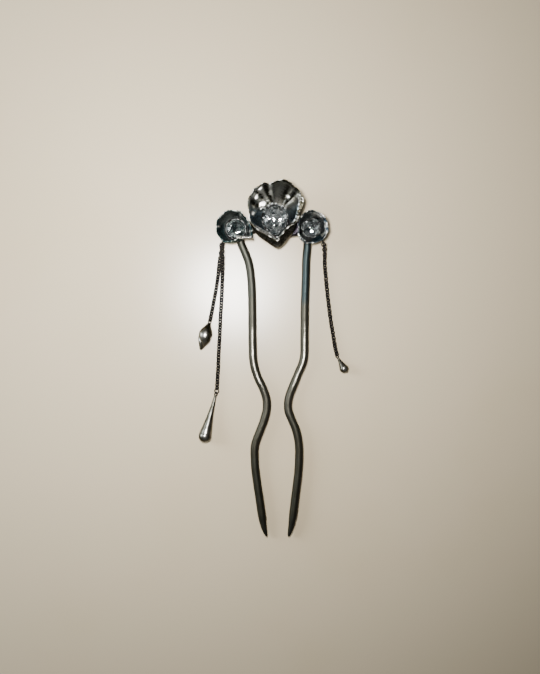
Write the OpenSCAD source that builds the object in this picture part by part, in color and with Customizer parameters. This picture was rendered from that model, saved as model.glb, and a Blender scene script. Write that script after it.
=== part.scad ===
// French hair pin: a bent wire fork with three flower cups that hold cut stones, and three chains with drops.
// It lies flat with the cups up. X runs across the pin, Y runs from the points to the flowers and Z is up.
// The origin is on the surface, under the middle of the whole outline.

/* [Fork] */
// Diameter of the pin wire
wire_d = 2.9; // [2.6:0.1:3]
// Length of the ground point of each prong
point_len = 9; // [8:0.5:10]
// Diameter at the very tip of a prong
tip_d = 0.9; // [0.7:0.1:1.2]

/* [Cups] */
// Wall thickness of the heart cup
heart_wall = 0.8; // [0.7:0.05:0.9]
// Wall thickness of the two small cups
small_wall = 0.7; // [0.6:0.05:0.8]
// Height of the cups' lowest point above the surface
cup_base_z = 1.5; // [1.2:0.1:1.7]

/* [Stones] */
// Width of the pear stone
pear_w = 8.3; // [8:0.1:8.5]
// Distance from the middle of the pear stone's head to its point
pear_reach = 6.0; // [5.7:0.1:6.3]
// Diameter of the left cup's stone
left_stone_d = 6.2; // [5.6:0.1:6.4]
// Diameter of the right cup's stone
right_stone_d = 5.8; // [5.2:0.1:6]
// Space between a stone and its bezel
stone_gap = 0.12; // [0.1:0.01:0.14]

/* [Chains] */
// Outer diameter of a chain link
link_d = 1.7; // [1.65:0.05:1.75]
// Wire diameter of a chain link
link_wire = 0.31; // [0.28:0.01:0.32]
// Space between two links that hang in each other
link_gap = 0.11; // [0.11:0.01:0.13]

/* [Drops] */
// Diameter of the long teardrop's bulb
long_bulb_d = 4.4; // [4.1:0.1:4.4]
// Diameter of the small teardrop's bulb
small_bulb_d = 3.1; // [2.8:0.1:3.1]
// Widest diameter of the twisted bud
bud_d = 4.8; // [4.4:0.1:4.8]

/* [Hidden] */
silver = [0.42, 0.41, 0.38];
dark_silver = [0.24, 0.23, 0.21];
crystal = [0.72, 0.8, 0.8];

// Bends of the fork's wire, from the left point round to the right point: x, y and heading in degrees
fork_bends = [
    [-2.1, -61.6, 113],
    [-4.15, -52.4, 98],
    [-6.45, -32.0, 90],
    [-3.7, -22.6, 69],
    [-2.15, -15.6, 90],
    [-4.2, -8.5, 117],
    [-7.0, 1.6, 92],
    [-7.2, 16.0, 90.5],
    [-7.7, 29.2, 96],
    [-9.2, 36.0, 112],
    [-10.9, 39.9, 114],
    [-7.2, 45.4, 0],
    [7.6, 45.4, 0],
    [12.0, 41.0, -91],
    [11.5, 33.0, -91],
    [11.0, 14.0, -90.5],
    [10.9, 2.4, -91],
    [7.6, -7.6, -112],
    [5.2, -16.0, -90],
    [7.2, -22.4, -66],
    [9.1, -32.0, -90],
    [7.2, -52.4, -97],
    [5.4, -61.6, -108]
];
wire_sides = 16;
// Largest turn between two rings of the wire, in degrees, and least number of rings in a point's arcs
wire_turn = 10;
point_rings = 4;
// A stretch that bends less than this, per millimetre, is straight
least_bend = 0.0005;
// Ground point: share of the tip's radius at its end, how fast the nose rounds out, and power of the taper
nose_share = 0.55;
nose_rise = 12;
taper_power = 1.8;

// Each cup's wall, going round its middle: angle, fold radius, rim radius, rim height, belly radius
heart_at = [1.3, 51.1];
heart_rows = [
    [0, 7.0, 8.3, 9.2, 7.5],
    [20, 8.0, 9.6, 9.6, 7.9],
    [34, 9.0, 9.9, 9.7, 8.0],
    [50, 9.4, 10.1, 9.6, 8.0],
    [66, 10.1, 10.5, 9.5, 8.3],
    [78, 10.3, 10.7, 9.4, 8.4],
    [92, 9.8, 10.1, 9.1, 8.0],
    [104, 9.5, 9.85, 8.9, 7.8],
    [116, 9.8, 10.2, 9.2, 8.2],
    [128, 10.2, 10.65, 9.0, 8.3],
    [138, 10.1, 10.55, 9.2, 8.3],
    [150, 10.2, 10.7, 8.9, 8.3],
    [164, 9.9, 10.3, 8.9, 8.4],
    [184, 9.4, 9.8, 8.7, 8.8],
    [204, 9.7, 10.0, 8.5, 9.5],
    [228, 9.0, 9.3, 8.4, 10.4],
    [250, 8.9, 9.2, 8.3, 11.0],
    [262, 9.4, 9.8, 8.3, 12.0],
    [271, 10.1, 10.6, 8.4, 12.6],
    [280, 8.4, 8.8, 8.4, 11.9],
    [292, 7.3, 7.7, 8.6, 10.2],
    [308, 6.8, 7.2, 8.8, 9.3],
    [326, 6.8, 7.8, 9.0, 8.2],
    [338, 6.8, 8.1, 9.1, 7.7]
];
left_at = [-13.6, 45.7];
left_rows = [
    [0, 5.7, 6.1, 7.2, 5.6],
    [16, 5.2, 5.75, 7.4, 5.3],
    [42, 4.9, 5.4, 7.5, 5.1],
    [70, 5.4, 5.9, 7.3, 5.3],
    [84, 5.3, 5.6, 7.1, 5.2],
    [110, 5.6, 6.0, 7.4, 5.4],
    [130, 5.6, 5.9, 7.1, 5.4],
    [146, 5.6, 5.95, 7.2, 5.5],
    [162, 5.8, 6.1, 7.0, 5.6],
    [181, 5.6, 5.95, 7.1, 5.6],
    [200, 5.9, 6.2, 6.9, 5.7],
    [220, 5.7, 6.0, 6.9, 5.7],
    [236, 5.85, 6.15, 6.8, 5.9],
    [254, 5.1, 5.4, 6.8, 5.6],
    [272, 4.7, 4.9, 6.9, 5.3],
    [292, 4.2, 4.6, 7.2, 5.2],
    [308, 4.4, 4.8, 7.3, 5.4],
    [322, 5.6, 6.0, 7.3, 5.9],
    [332, 6.6, 7.1, 7.2, 6.2],
    [346, 6.1, 6.6, 7.2, 5.9]
];
right_at = [13.7, 45.7];
right_rows = [
    [0, 4.1, 4.95, 7.3, 5.0],
    [26, 4.2, 5.15, 7.5, 4.9],
    [54, 4.3, 5.2, 7.6, 4.9],
    [76, 4.7, 5.35, 7.5, 5.0],
    [100, 5.4, 5.8, 7.3, 5.2],
    [127, 5.3, 5.7, 7.2, 5.2],
    [143, 5.1, 5.45, 7.2, 5.0],
    [162, 4.9, 5.25, 7.1, 4.9],
    [185, 4.8, 5.1, 7.0, 4.9],
    [218, 5.7, 6.1, 6.9, 5.5],
    [240, 5.9, 6.25, 6.8, 5.8],
    [266, 5.3, 5.7, 6.8, 5.5],
    [304, 5.0, 5.5, 7.0, 5.3],
    [324, 4.7, 5.45, 7.1, 5.2],
    [344, 4.4, 5.4, 7.2, 5.1]
];
// Steps up a cup's wall from its lowest point to the fold
wall_steps = [0.14, 0.28, 0.42, 0.56, 0.7, 0.82, 0.92, 1];
// Curve of a cup's wall: reach of its lower handle and of its belly handle, pull of the fold on the belly,
// and rise of the belly
floor_reach = 0.62;
belly_reach = 1.88;
fold_pull = 0.62;
belly_rise = 1.5;
// How far the fold lies below the rim, and how much more where the lip is wide
lip_drop = 0.15;
lip_slope = 0.2;
// Rounding of the rim, as a share of the wall
rim_round = 0.3;
// Thickness of the rim, as a share of the wall
rim_share = 0.6;
heart_sides = 90;
small_sides = 36;
// Radial flutes of the heart cup: angle, half width in degrees, and how far they press the wall in or out
heart_flutes = [
    [30, 8, 1.0],
    [43, 5, -0.9],
    [53, 4, 0.9],
    [65, 8, -0.9],
    [88, 7, 0.5],
    [104, 4.5, 2.0],
    [116, 6, -1.7],
    [127, 5, 1.9],
    [137, 4.5, -1.4],
    [147, 5.5, 1.9],
    [161, 7, -1.2],
    [182, 8, 0.8]
];
// How fast a flute sets in up the wall, and how much of it is lost again at the rim
flute_rise = 1.5;
flute_loss = 0.85;

// Stones: middle, height of the girdle's lower edge, height of the crown and depth below the girdle
pear_at = [0.65, 48.8];
pear_turn = 9;
pear_z = 6.32;
pear_crown = 1.4;
pear_depth = 2.8;
left_stone_at = [-12.8, 45.1];
right_stone_at = [13.1, 45.4];
small_stone_z = 5.22;
small_crown = 1.0;
small_depth = 2.0;
girdle_h = 0.25;
// Facet corners as shares of the outline and of the height: crown, table and lower corners
crown_share = 0.83;
table_share = 0.57;
lower_share = 0.45;
corner_rise = 0.6;

// Bezels: wall, ledge under the girdle, depth of that ledge below it, lip above it, floor, room for the tip
bezel_wall = 0.4;
ledge = 0.3;
ledge_drop = 0.4;
// How much farther an offset of the pear's outline reaches at its point
tip_reach = 2.5;
bezel_lip = 0.35;
bezel_floor = 0.4;
tip_room = 0.2;
// Posts that carry the bezels, from inside the cups' walls
post_z = cup_base_z + small_wall / 2;
pear_post_r = 2.4;
small_post_r = 1.6;
// Granules round the head of the pear stone: angle and diameter
pear_granules = [[137, 0.9], [117, 0.8], [101, 1.1], [86, 1.0], [56, 0.8], [41, 0.9]];
// Beads along the right cup's rim: first and last angle, number, diameter, distance from the middle, height
bead_from = 206;
bead_to = 238;
beads = 5;
bead_d = 0.75;
bead_r = 5.5;
bead_z = 6.75;
// Rolled edge of the left cup, from end to end, its diameter and that of the blob on its inner end
roll_from = [-12.2, 42.1, 6.9];
roll_to = [-7.5, 42.0, 6.9];
roll_d = 1.15;
roll_blob_d = 1.4;
// Solder web between the heart cup and the right cup: middles of its lobes and their diameters
web_lobes = [[5.6, 43.7, 3.6, 2.4], [8.9, 44.0, 3.8, 2.2], [8.4, 47.0, 4.6, 1.8], [5.9, 46.2, 4.4, 1.6]];

// Fixed loops under the small cups: middle of the ring and the direction that it points in
loop_d = 2.2;
loop_wire = 0.42;
left_loop_at = [-17.6, 40.6, 3.9];
left_loop_turn = 264;
right_loop_at = [17.2, 40.9, 3.9];
right_loop_turn = 290;

// Eyes of the drops and the jump ring
eye_d = 1.7;
eye_wire = 0.4;
jump_d = 2.3;
jump_wire = 0.4;
jump_at = [-19.65, -10.9, 1.0];
// Space between the jump ring and the eye that hangs in it
jump_gap = 0.14;
long_bulb_at = [-23.7, -26.5, 2.23];
hang = (jump_d + eye_d) / 2 - jump_wire - eye_wire - jump_gap;
long_eye_at = jump_at + hang * unit(long_bulb_at - jump_at);
bud_eye_at = [-22.05, 13.3, 1.7];
small_eye_at = [22.4, 1.2, 0.95];
small_bulb_at = [24.7, -3.1, 1.58];
// Teardrops: how deep the neck reaches into the eye's wire, its widths, the angle from the bulb's far end at
// which it meets the bulb, and the power of its flare
neck_sink = 0.32;
long_neck_d = 1.0;
small_neck_d = 0.8;
shoulder = 108;
flare_power = 1.4;
flare_steps = [0.2, 0.4, 0.6, 0.8];
bulb_steps = 10;
// How far a lying link is rolled about the line of its chain, in degrees, and how many links turn to that
lie_roll = 45;
square_links = 6;
// Middle line of the bud, from under its eye to the tip
bud_line = [
    [-22.2, 12.7, 1.8],
    [-22.85, 10.8, 2.15],
    [-23.55, 8.6, 2.43],
    [-24.35, 6.1, 2.05],
    [-25.25, 3.4, 1.3]
];
bud_sides = 20;
// Where along it the bud is widest, its radius at both ends as a share of that, and the powers of its swell
// and its taper
bud_widest = 0.48;
bud_top_share = 0.22;
bud_tip_share = 0.1;
bud_swell = 1.6;
bud_taper = 1.25;
// The two grooves: turn from end to end, depth as a share of the radius, width, where they start and how soon
// they are at full depth
bud_twist = 330;
groove_depth = 0.24;
groove_width = 42;
groove_from = 0.3;
groove_onset = 3;

// Routes of the chains, from the fixed loop to the ring or eye at the end
long_route = [
    left_loop_at,
    [-17.77, 39.0, 3.8],
    [-17.5, 34.8, 3.0],
    [-17.6, 30.5, 1.6],
    [-17.75, 26.5, 0.85],
    [-18.0, 20.8, 0.7],
    [-18.35, 15.0, 0.7],
    [-18.6, 9.0, 0.7],
    [-18.95, 3.0, 0.7],
    [-19.2, -3.3, 0.7],
    jump_at
];
short_route = [
    left_loop_at,
    [-17.69, 39.75, 2.1],
    [-18.1, 37.6, 0.8],
    [-18.5, 35.5, 0.7],
    [-18.9, 32.4, 0.7],
    [-19.35, 28.2, 0.7],
    [-20.0, 24.0, 0.7],
    [-20.7, 20.4, 0.7],
    [-21.3, 17.0, 0.9],
    bud_eye_at
];
right_route = [
    right_loop_at,
    [17.75, 39.0, 3.0],
    [18.0, 36.0, 1.3],
    [18.05, 33.0, 0.7],
    [18.4, 28.9, 0.7],
    [18.9, 23.6, 0.7],
    [19.5, 18.6, 0.7],
    [20.2, 13.1, 0.7],
    [21.0, 8.4, 0.7],
    [21.6, 4.6, 0.75],
    small_eye_at
];
// Samples between two points of a curve, and the distance either way over which a link takes its direction
route_steps = 8;
look = 0.3;
// Facets round the chains' wire and rings, and depth by which a pocket's cut runs past its top
wire_facets = 16;
ring_facets = 24;
cut_above = 1;

function unit(v) = v / norm(v);
function cross_z(a, b) = a.x * b.y - a.y * b.x;
function heading(a) = [cos(a), sin(a)];

// Smoothly joined row of a closed table at an angle; the rows' first column is the angle, from 0 up
function rows_below(rows, a, i = 0) =
    i == len(rows) - 1 || rows[i + 1][0] > a ? i : rows_below(rows, a, i + 1);
function row_at(rows, a) =
    let (
        n = len(rows),
        i = rows_below(rows, a),
        p0 = rows[(i + n - 1) % n],
        p1 = rows[i],
        p2 = rows[(i + 1) % n],
        p3 = rows[(i + 2) % n],
        a0 = i == 0 ? p0[0] - 360 : p0[0],
        a2 = i == n - 1 ? 360 + p2[0] : p2[0],
        a3 = i >= n - 2 ? 360 + p3[0] : p3[0],
        h = a2 - p1[0],
        m1 = (p2 - p0) / (a2 - a0),
        m2 = (p3 - p1) / (a3 - p1[0]),
        t = (a - p1[0]) / h
    )
    (2 * t ^ 3 - 3 * t ^ 2 + 1) * p1 + (t ^ 3 - 2 * t ^ 2 + t) * h * m1
    + (3 * t ^ 2 - 2 * t ^ 3) * p2 + (t ^ 3 - t ^ 2) * h * m2;

// How far the flutes press the wall in at an angle
function angle_between(a, b) = let (d = abs(a - b) % 360) min(d, 360 - d);
function flute_depth(flutes, a, i = 0) =
    i == len(flutes)
        ? 0
        : flutes[i][2] * exp(-(angle_between(a, flutes[i][0]) / flutes[i][1]) ^ 2)
            + flute_depth(flutes, a, i + 1);

// How far a flute presses the wall in at a step: most below the rim, little at the rim itself
function press_at(flute, t) = flute * t ^ flute_rise * (1 - flute_loss * t ^ 2);

// Profile of a cup's outer face at an angle, as radius and height from the lowest point to the rim
function cup_profile(row, flute) =
    let (
        fold_r = row[1],
        rim_r = row[2],
        rim_z = row[3],
        belly = row[4],
        fold_z = rim_z - lip_drop - lip_slope * abs(rim_r - fold_r),
        rise = fold_z - cup_base_z,
        low_r = floor_reach * belly,
        lip_press = press_at(flute, 1),
        side_r = belly_reach * belly - fold_pull * fold_r
    )
    concat(
        [[0, cup_base_z]],
        [for (t = wall_steps)
            [3 * (1 - t) ^ 2 * t * low_r + 3 * (1 - t) * t ^ 2 * side_r + t ^ 3 * fold_r - press_at(flute, t),
             cup_base_z + (belly_rise * (1 - t) * t ^ 2 + t ^ 3) * rise]],
        [[(fold_r + rim_r) / 2 - lip_press, (fold_z + rim_z) / 2], [rim_r - lip_press, rim_z]]
    );

// The profile moved in by the wall, which thins towards the rim, each point square to its two neighbours
function inner_profile(p, wall) =
    [for (i = [0 : len(p) - 1])
        let (
            d = i == 0 ? [1, 0] : unit(p[min(i + 1, len(p) - 1)] - p[i - 1]),
            t = i == 0 ? 0 : wall_steps[min(i, len(wall_steps)) - 1],
            thick = wall * (1 - (1 - rim_share) * t ^ 2)
        )
        [i == 0 ? 0 : p[i].x - d.y * thick, p[i].y + d.x * thick]];

// A cup as one closed shell: up the outer face, over the rim and down the inner face
module cup(rows, at, wall, sides, flutes = []) {
    profiles = [for (k = [0 : sides - 1])
        let (
            a = k * 360 / sides,
            outer = cup_profile(row_at(rows, a), flute_depth(flutes, a)),
            inner = inner_profile(outer, wall),
            top = len(outer) - 1,
            edge = (outer[top] + inner[top]) / 2 + unit(outer[top] - outer[top - 1]) * wall * rim_round
        )
        concat([for (i = [1 : top]) outer[i]], [edge], [for (i = [top : -1 : 1]) inner[i]])];
    rings = len(profiles[0]);
    points = concat(
        [[0, 0, cup_base_z], [0, 0, cup_base_z + wall]],
        [for (k = [0 : sides - 1], p = profiles[k])
            let (a = k * 360 / sides)
            [p.x * cos(a), p.x * sin(a), p.y]]
    );
    faces = concat(
        [for (k = [0 : sides - 1]) [0, 2 + k * rings, 2 + ((k + 1) % sides) * rings]],
        [for (k = [0 : sides - 1]) [1, 1 + ((k + 1) % sides + 1) * rings, 1 + (k + 1) * rings]],
        [for (k = [0 : sides - 1], i = [0 : rings - 2])
            let (
                a = 2 + k * rings + i,
                b = 2 + ((k + 1) % sides) * rings + i
            )
            each [[a, a + 1, b + 1], [a, b + 1, b]]]
    );
    translate([at.x, at.y, 0])
        polyhedron(points, faces);
}

// Rings along one arc of wire that leaves a along the direction d and ends at b, as x, y and heading
function stretch_rings(a, d, b, least) =
    let (
        chord = b - a,
        bend = 2 * cross_z(d, chord) / (chord * chord),
        sweep = 2 * atan2(cross_z(d, chord), d * chord),
        start = atan2(d.y, d.x),
        n = max(least, ceil(abs(sweep) / wire_turn))
    )
    [for (i = [0 : n - 1])
        let (
            turn = sweep * i / n,
            arc = (heading(start + turn - 90) - heading(start - 90)) / bend,
            at = a + (abs(bend) < least_bend ? chord * i / n : arc)
        )
        [at.x, at.y, start + turn]];

// Rings along the two arcs that join two bends of the table smoothly
function bend_rings(p, q, least) =
    let (
        a = [p.x, p.y],
        b = [q.x, q.y],
        u = heading(p[2]),
        w = heading(q[2]),
        v = b - a,
        t = u + w,
        k = 2 * (1 - u * w),
        reach = k < least_bend ^ 2 ? v * v / (4 * v * w) : (sqrt((v * t) ^ 2 + k * v * v) - v * t) / k,
        mid = (a + b + reach * (u - w)) / 2
    )
    concat(stretch_rings(a, u, mid, least), stretch_rings(mid, unit(mid - (a + reach * u)), b, least));

// Closed tube through rings of points, with flat ends
module tube(rings, sides) {
    n = len(rings);
    faces = concat(
        [[for (k = [sides - 1 : -1 : 0]) k]],
        [for (i = [0 : n - 2], k = [0 : sides - 1])
            let (
                a = i * sides + k,
                b = i * sides + (k + 1) % sides
            )
            each [[a, b, b + sides], [a, b + sides, a + sides]]],
        [[for (k = [0 : sides - 1]) (n - 1) * sides + k]]
    );
    polyhedron([for (ring = rings) each ring], faces);
}

// The whole bent wire, ground to a round nose at both ends
module fork() {
    last = len(fork_bends) - 1;
    path = concat(
        [for (i = [0 : last - 1])
            let (least = i == 0 || i == last - 1 ? point_rings : 1)
            each bend_rings(fork_bends[i], fork_bends[i + 1], least)],
        [fork_bends[last]]
    );
    tube([for (p = path)
        let (
            u = min(1, (p.y - fork_bends[0].y) / point_len),
            nose = min(1, nose_share + nose_rise * u),
            r = tip_d / 2 * nose + (wire_d - tip_d) / 2 * (1 - (1 - u) ^ taper_power)
        )
        [for (k = [0 : wire_sides - 1])
            let (
                a = k * 360 / wire_sides,
                out = r * cos(a)
            )
            [p.x + sin(p[2]) * out, p.y - cos(p[2]) * out, wire_d / 2 + r * sin(a)]]], wire_sides);
}

// Axis of a ring that hangs in a chain: up across the chain's direction, rolled about that direction
function ring_axis(along, roll) =
    let (side = unit(cross(along, [0, 0, 1])))
    cos(roll) * cross(side, along) + sin(roll) * side;

// A ring of round wire whose axis points along the direction n
module wire_ring(at, n, d, wire) {
    translate(at)
        rotate([0, acos(n.z / norm(n)), atan2(n.y, n.x)])
            rotate_extrude($fn = ring_facets)
                translate([(d - wire) / 2, 0])
                    circle(d = wire, $fn = wire_facets);
}

// Smooth curve through a route's points
function route_point(route, i) = route[max(0, min(len(route) - 1, i))];
function curve_point(route, i, t) =
    let (
        p0 = route_point(route, i - 1),
        p1 = route_point(route, i),
        p2 = route_point(route, i + 1),
        p3 = route_point(route, i + 2)
    )
    p1 + t / 2 * (p2 - p0 + t * (2 * p0 - 5 * p1 + 4 * p2 - p3 + t * (3 * (p1 - p2) + p3 - p0)));
function curve(route) =
    [for (i = [0 : len(route) - 2], k = [0 : i == len(route) - 2 ? route_steps : route_steps - 1])
        curve_point(route, i, k / route_steps)];
function lengths(points, i = 0, sum = 0) =
    i == len(points) ? []
    : let (s = i == 0 ? 0 : sum + norm(points[i] - points[i - 1])) concat([s], lengths(points, i + 1, s));

// Direction in which a route reaches its last point
function end_along(route) =
    let (c = curve(route))
    unit(c[len(c) - 1] - c[len(c) - 4]);

// Point at a distance along a route, from three tables of distance and coordinate
function at_length(tables, s) = [lookup(s, tables[0]), lookup(s, tables[1]), lookup(s, tables[2])];

// A chain of round links between two rings, each turned a quarter from the last. The first link stands square
// to the fixed loop, and the next few turn until the links lie on their edges
module chain(route, start_inner, end_inner) {
    points = curve(route);
    run = lengths(points);
    tables = [for (axis = [0 : 2]) [for (i = [0 : len(points) - 1]) [run[i], points[i][axis]]]];
    link_inner = link_d / 2 - link_wire;
    first = start_inner + link_inner - link_gap;
    last = run[len(run) - 1] - (end_inner + link_inner - link_gap);
    gaps = ceil((last - first) / (2 * link_inner - link_gap));
    for (i = [0 : gaps]) {
        s = first + (last - first) * i / gaps;
        along = unit(at_length(tables, s + look) - at_length(tables, s - look));
        square = (gaps % 2 == 0 ? -lie_roll : lie_roll) * max(0, 1 - i / square_links);
        roll = lie_roll + 90 * ((gaps - i) % 2) + square;
        wire_ring(at_length(tables, s), ring_axis(along, roll), link_d, link_wire);
    }
}

// Outline of a pear: a round head and two arcs that meet at the point, as a radius at an angle from the point
function pear_radius(head_r, reach, a) =
    let (
        side = (head_r ^ 2 + reach ^ 2) / (2 * head_r) - head_r,
        s = abs(sin(a))
    )
    cos(a) <= 0 ? head_r : sqrt((s * side) ^ 2 + reach ^ 2) - s * side;
function pear_outline(head_r, reach, n) =
    [for (k = [0 : n - 1])
        let (a = k * 360 / n)
        pear_radius(head_r, reach, a) * heading(a - 90 + pear_turn)];
function round_outline(r, n) = [for (k = [0 : n - 1]) r * heading(k * 360 / n)];

// A cut stone over an outline of 16 points: table, stars, kites, girdle and two rows of facets below it
module cut_stone(outline, crown_h, depth) {
    half = [for (k = [0 : 7]) (outline[2 * k] + 2 * outline[2 * k + 1] + outline[(2 * k + 2) % 16]) / 4];
    even = [for (k = [0 : 7]) outline[2 * k]];
    points = concat(
        [for (p = outline) [p.x, p.y, 0]],
        [for (p = outline) [p.x, p.y, girdle_h]],
        [for (p = half) [p.x * crown_share, p.y * crown_share, girdle_h + crown_h * corner_rise]],
        [for (p = even) [p.x * table_share, p.y * table_share, girdle_h + crown_h]],
        [for (p = half) [p.x * lower_share, p.y * lower_share, -depth * corner_rise]],
        [[0, 0, -depth]]
    );
    upper = 16;
    crown = 32;
    table = 40;
    lower = 48;
    culet = 56;
    faces = concat(
        [for (k = [0 : 15])
            let (m = (k + 1) % 16)
            each [[k, m, upper + m], [k, upper + m, upper + k]]],
        [for (k = [0 : 7])
            let (
                g = 2 * k,
                g1 = g + 1,
                g2 = (g + 2) % 16,
                m = (k + 1) % 8
            )
            each [
                [upper + g, upper + g1, crown + k],
                [upper + g1, upper + g2, crown + k],
                [upper + g2, crown + m, table + m],
                [upper + g2, table + m, crown + k],
                [crown + k, table + m, table + k],
                [g1, g, lower + k],
                [g2, g1, lower + k],
                [g2, lower + k, culet],
                [g2, culet, lower + m]
            ]],
        [[for (k = [0 : 7]) table + k]]
    );
    polyhedron(points, [for (f = faces) [for (i = [len(f) - 1 : -1 : 0]) f[i]]]);
}

// A bezel's wall and floor between two outlines' prisms, open above a ledge that the stone sits over
module bezel(at, z, depth, post_r) {
    floor_z = z - depth - tip_room;
    difference() {
        union() {
            translate([at.x, at.y, floor_z - bezel_floor])
                linear_extrude(z + bezel_lip - floor_z + bezel_floor)
                    children(0);
            translate([at.x, at.y, post_z])
                cylinder(r = post_r, h = floor_z - bezel_floor / 2 - post_z, $fn = 32);
        }
        translate([at.x, at.y, floor_z])
            linear_extrude(z - floor_z + cut_above)
                children(1);
        translate([at.x, at.y, z - ledge_drop])
            linear_extrude(ledge_drop + cut_above)
                children(2);
    }
}
module pear_bezel() {
    head = pear_w / 2;
    outside = stone_gap + bezel_wall;
    bezel(pear_at, pear_z, pear_depth, pear_post_r) {
        polygon(pear_outline(head + outside, pear_reach + outside * tip_reach, 32));
        polygon(pear_outline(head - ledge, pear_reach - ledge, 32));
        polygon(pear_outline(head + stone_gap, pear_reach + stone_gap * tip_reach, 32));
    }
    for (g = pear_granules) {
        r = head + stone_gap + g[1] / 2;
        translate([pear_at.x + r * cos(g[0]), pear_at.y + r * sin(g[0]), pear_z + bezel_lip])
            sphere(d = g[1], $fn = 16);
    }
}
module round_bezel(at, d) {
    bezel(at, small_stone_z, small_depth, small_post_r) {
        circle(d = d + 2 * (stone_gap + bezel_wall), $fn = 48);
        circle(d = d - 2 * ledge, $fn = 48);
        circle(d = d + 2 * stone_gap, $fn = 48);
    }
}

module rim_beads() {
    for (i = [0 : beads - 1]) {
        a = bead_from + (bead_to - bead_from) * i / (beads - 1);
        translate([right_at.x + bead_r * cos(a), right_at.y + bead_r * sin(a), bead_z])
            sphere(d = bead_d, $fn = 16);
    }
}
module rolled_edge() {
    run = roll_to - roll_from;
    translate(roll_from)
        rotate([0, acos(run.z / norm(run)), atan2(run.y, run.x)]) {
            cylinder(d = roll_d, h = norm(run), $fn = 24);
            sphere(d = roll_d, $fn = 24);
            translate([0, 0, norm(run)])
                sphere(d = roll_blob_d, $fn = 24);
        }
}
module solder_web() {
    hull()
        for (w = web_lobes)
            translate([w[0], w[1], w[2]])
                sphere(d = w[3], $fn = 12);
}

module pin_frame() {
    color(silver) {
        fork();
        cup(heart_rows, heart_at, heart_wall, heart_sides, heart_flutes);
        cup(left_rows, left_at, small_wall, small_sides);
        cup(right_rows, right_at, small_wall, small_sides);
        pear_bezel();
        round_bezel(left_stone_at, left_stone_d);
        round_bezel(right_stone_at, right_stone_d);
        rim_beads();
        rolled_edge();
        solder_web();
        wire_ring(left_loop_at, [sin(left_loop_turn), -cos(left_loop_turn), 0], loop_d, loop_wire);
        wire_ring(right_loop_at, [sin(right_loop_turn), -cos(right_loop_turn), 0], loop_d, loop_wire);
    }
}
module pear_stone() {
    color(crystal)
        translate([pear_at.x, pear_at.y, pear_z])
            cut_stone(pear_outline(pear_w / 2, pear_reach, 16), pear_crown, pear_depth);
}
module left_stone() {
    color(crystal)
        translate([left_stone_at.x, left_stone_at.y, small_stone_z])
            cut_stone(round_outline(left_stone_d / 2, 16), small_crown, small_depth);
}
module right_stone() {
    color(crystal)
        translate([right_stone_at.x, right_stone_at.y, small_stone_z])
            cut_stone(round_outline(right_stone_d / 2, 16), small_crown, small_depth);
}

module long_chain() {
    color(dark_silver)
        chain(long_route, loop_d / 2 - loop_wire, jump_d / 2 - jump_wire);
}
module short_chain() {
    color(dark_silver)
        chain(short_route, loop_d / 2 - loop_wire, eye_d / 2 - eye_wire);
}
module right_chain() {
    color(dark_silver)
        chain(right_route, loop_d / 2 - loop_wire, eye_d / 2 - eye_wire);
}
module long_jump_ring() {
    along = unit(long_eye_at - long_route[len(long_route) - 2]);
    color(dark_silver)
        wire_ring(jump_at, ring_axis(along, -lie_roll), jump_d, jump_wire);
}

// A teardrop turned round its length, with a wire eye at its thin end
module teardrop(eye_at, bulb_at, bulb_d, neck_d, eye_along, eye_roll) {
    run = bulb_at - eye_at;
    length = norm(run);
    along = run / length;
    r = bulb_d / 2;
    neck_from = eye_d / 2 - neck_sink;
    bulb_from = length + r * cos(shoulder);
    flare = r * sin(shoulder) - neck_d / 2;
    wire_ring(eye_at, ring_axis(unit(eye_along), eye_roll), eye_d, eye_wire);
    translate(eye_at)
        rotate([0, acos(along.z), atan2(along.y, along.x)])
            rotate_extrude($fn = 32)
                polygon(concat(
                    [[0, neck_from], [neck_d / 2, neck_from]],
                    [for (s = flare_steps)
                        [neck_d / 2 + flare * s ^ flare_power, neck_from + (bulb_from - neck_from) * s]],
                    [for (k = [bulb_steps : -1 : 1])
                        let (a = shoulder * k / bulb_steps)
                        [r * sin(a), length + r * cos(a)]],
                    [[0, length + r]]
                ));
}
module long_drop() {
    color(silver)
        teardrop(long_eye_at, long_bulb_at, long_bulb_d, long_neck_d, long_bulb_at - jump_at, lie_roll);
}
module small_drop() {
    color(silver)
        teardrop(small_eye_at, small_bulb_at, small_bulb_d, small_neck_d, end_along(right_route), -lie_roll);
}

// The twisted bud: rings along a bent middle line, cut by two spiral grooves that deepen towards the tip
module bud_drop() {
    run = curve(bud_line);
    n = len(run) - 1;
    color(silver) {
        tube([for (i = [0 : n])
            let (
                s = i / n,
                along = unit(run[min(n, i + 1)] - run[max(0, i - 1)]),
                side = unit(cross(along, [0, 0, 1])),
                up = cross(side, along),
                swell = sin(90 * min(1, s / bud_widest)) ^ bud_swell,
                taper = cos(90 * (s - bud_widest) / (1 - bud_widest)) ^ bud_taper,
                share = s < bud_widest
                    ? bud_top_share + (1 - bud_top_share) * swell
                    : bud_tip_share + (1 - bud_tip_share) * taper,
                r = bud_d / 2 * share,
                depth = groove_depth * min(1, max(0, s - groove_from) * groove_onset)
            )
            [for (k = [0 : bud_sides - 1])
                let (
                    a = k * 360 / bud_sides,
                    groove = depth * exp(-(angle_between(2 * a, 2 * s * bud_twist) / groove_width) ^ 2)
                )
                run[i] + r * (1 - groove) * (cos(a) * side + sin(a) * up)]], bud_sides);
        wire_ring(bud_eye_at, ring_axis(end_along(short_route), -lie_roll), eye_d, eye_wire);
    }
}

pin_frame();
pear_stone();
left_stone();
right_stone();
long_chain();
long_jump_ring();
long_drop();
short_chain();
bud_drop();
right_chain();
small_drop();
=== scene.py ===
"""French hair pin: a blackened silver fork with flower cups, cut stones and fine chains with drops.

Sizes are in millimetres in the part's own frame, and meshes are scaled to metres as they are made.
"""
import logging
import math
from dataclasses import dataclass
from enum import Enum
from typing import Callable, Sequence

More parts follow.
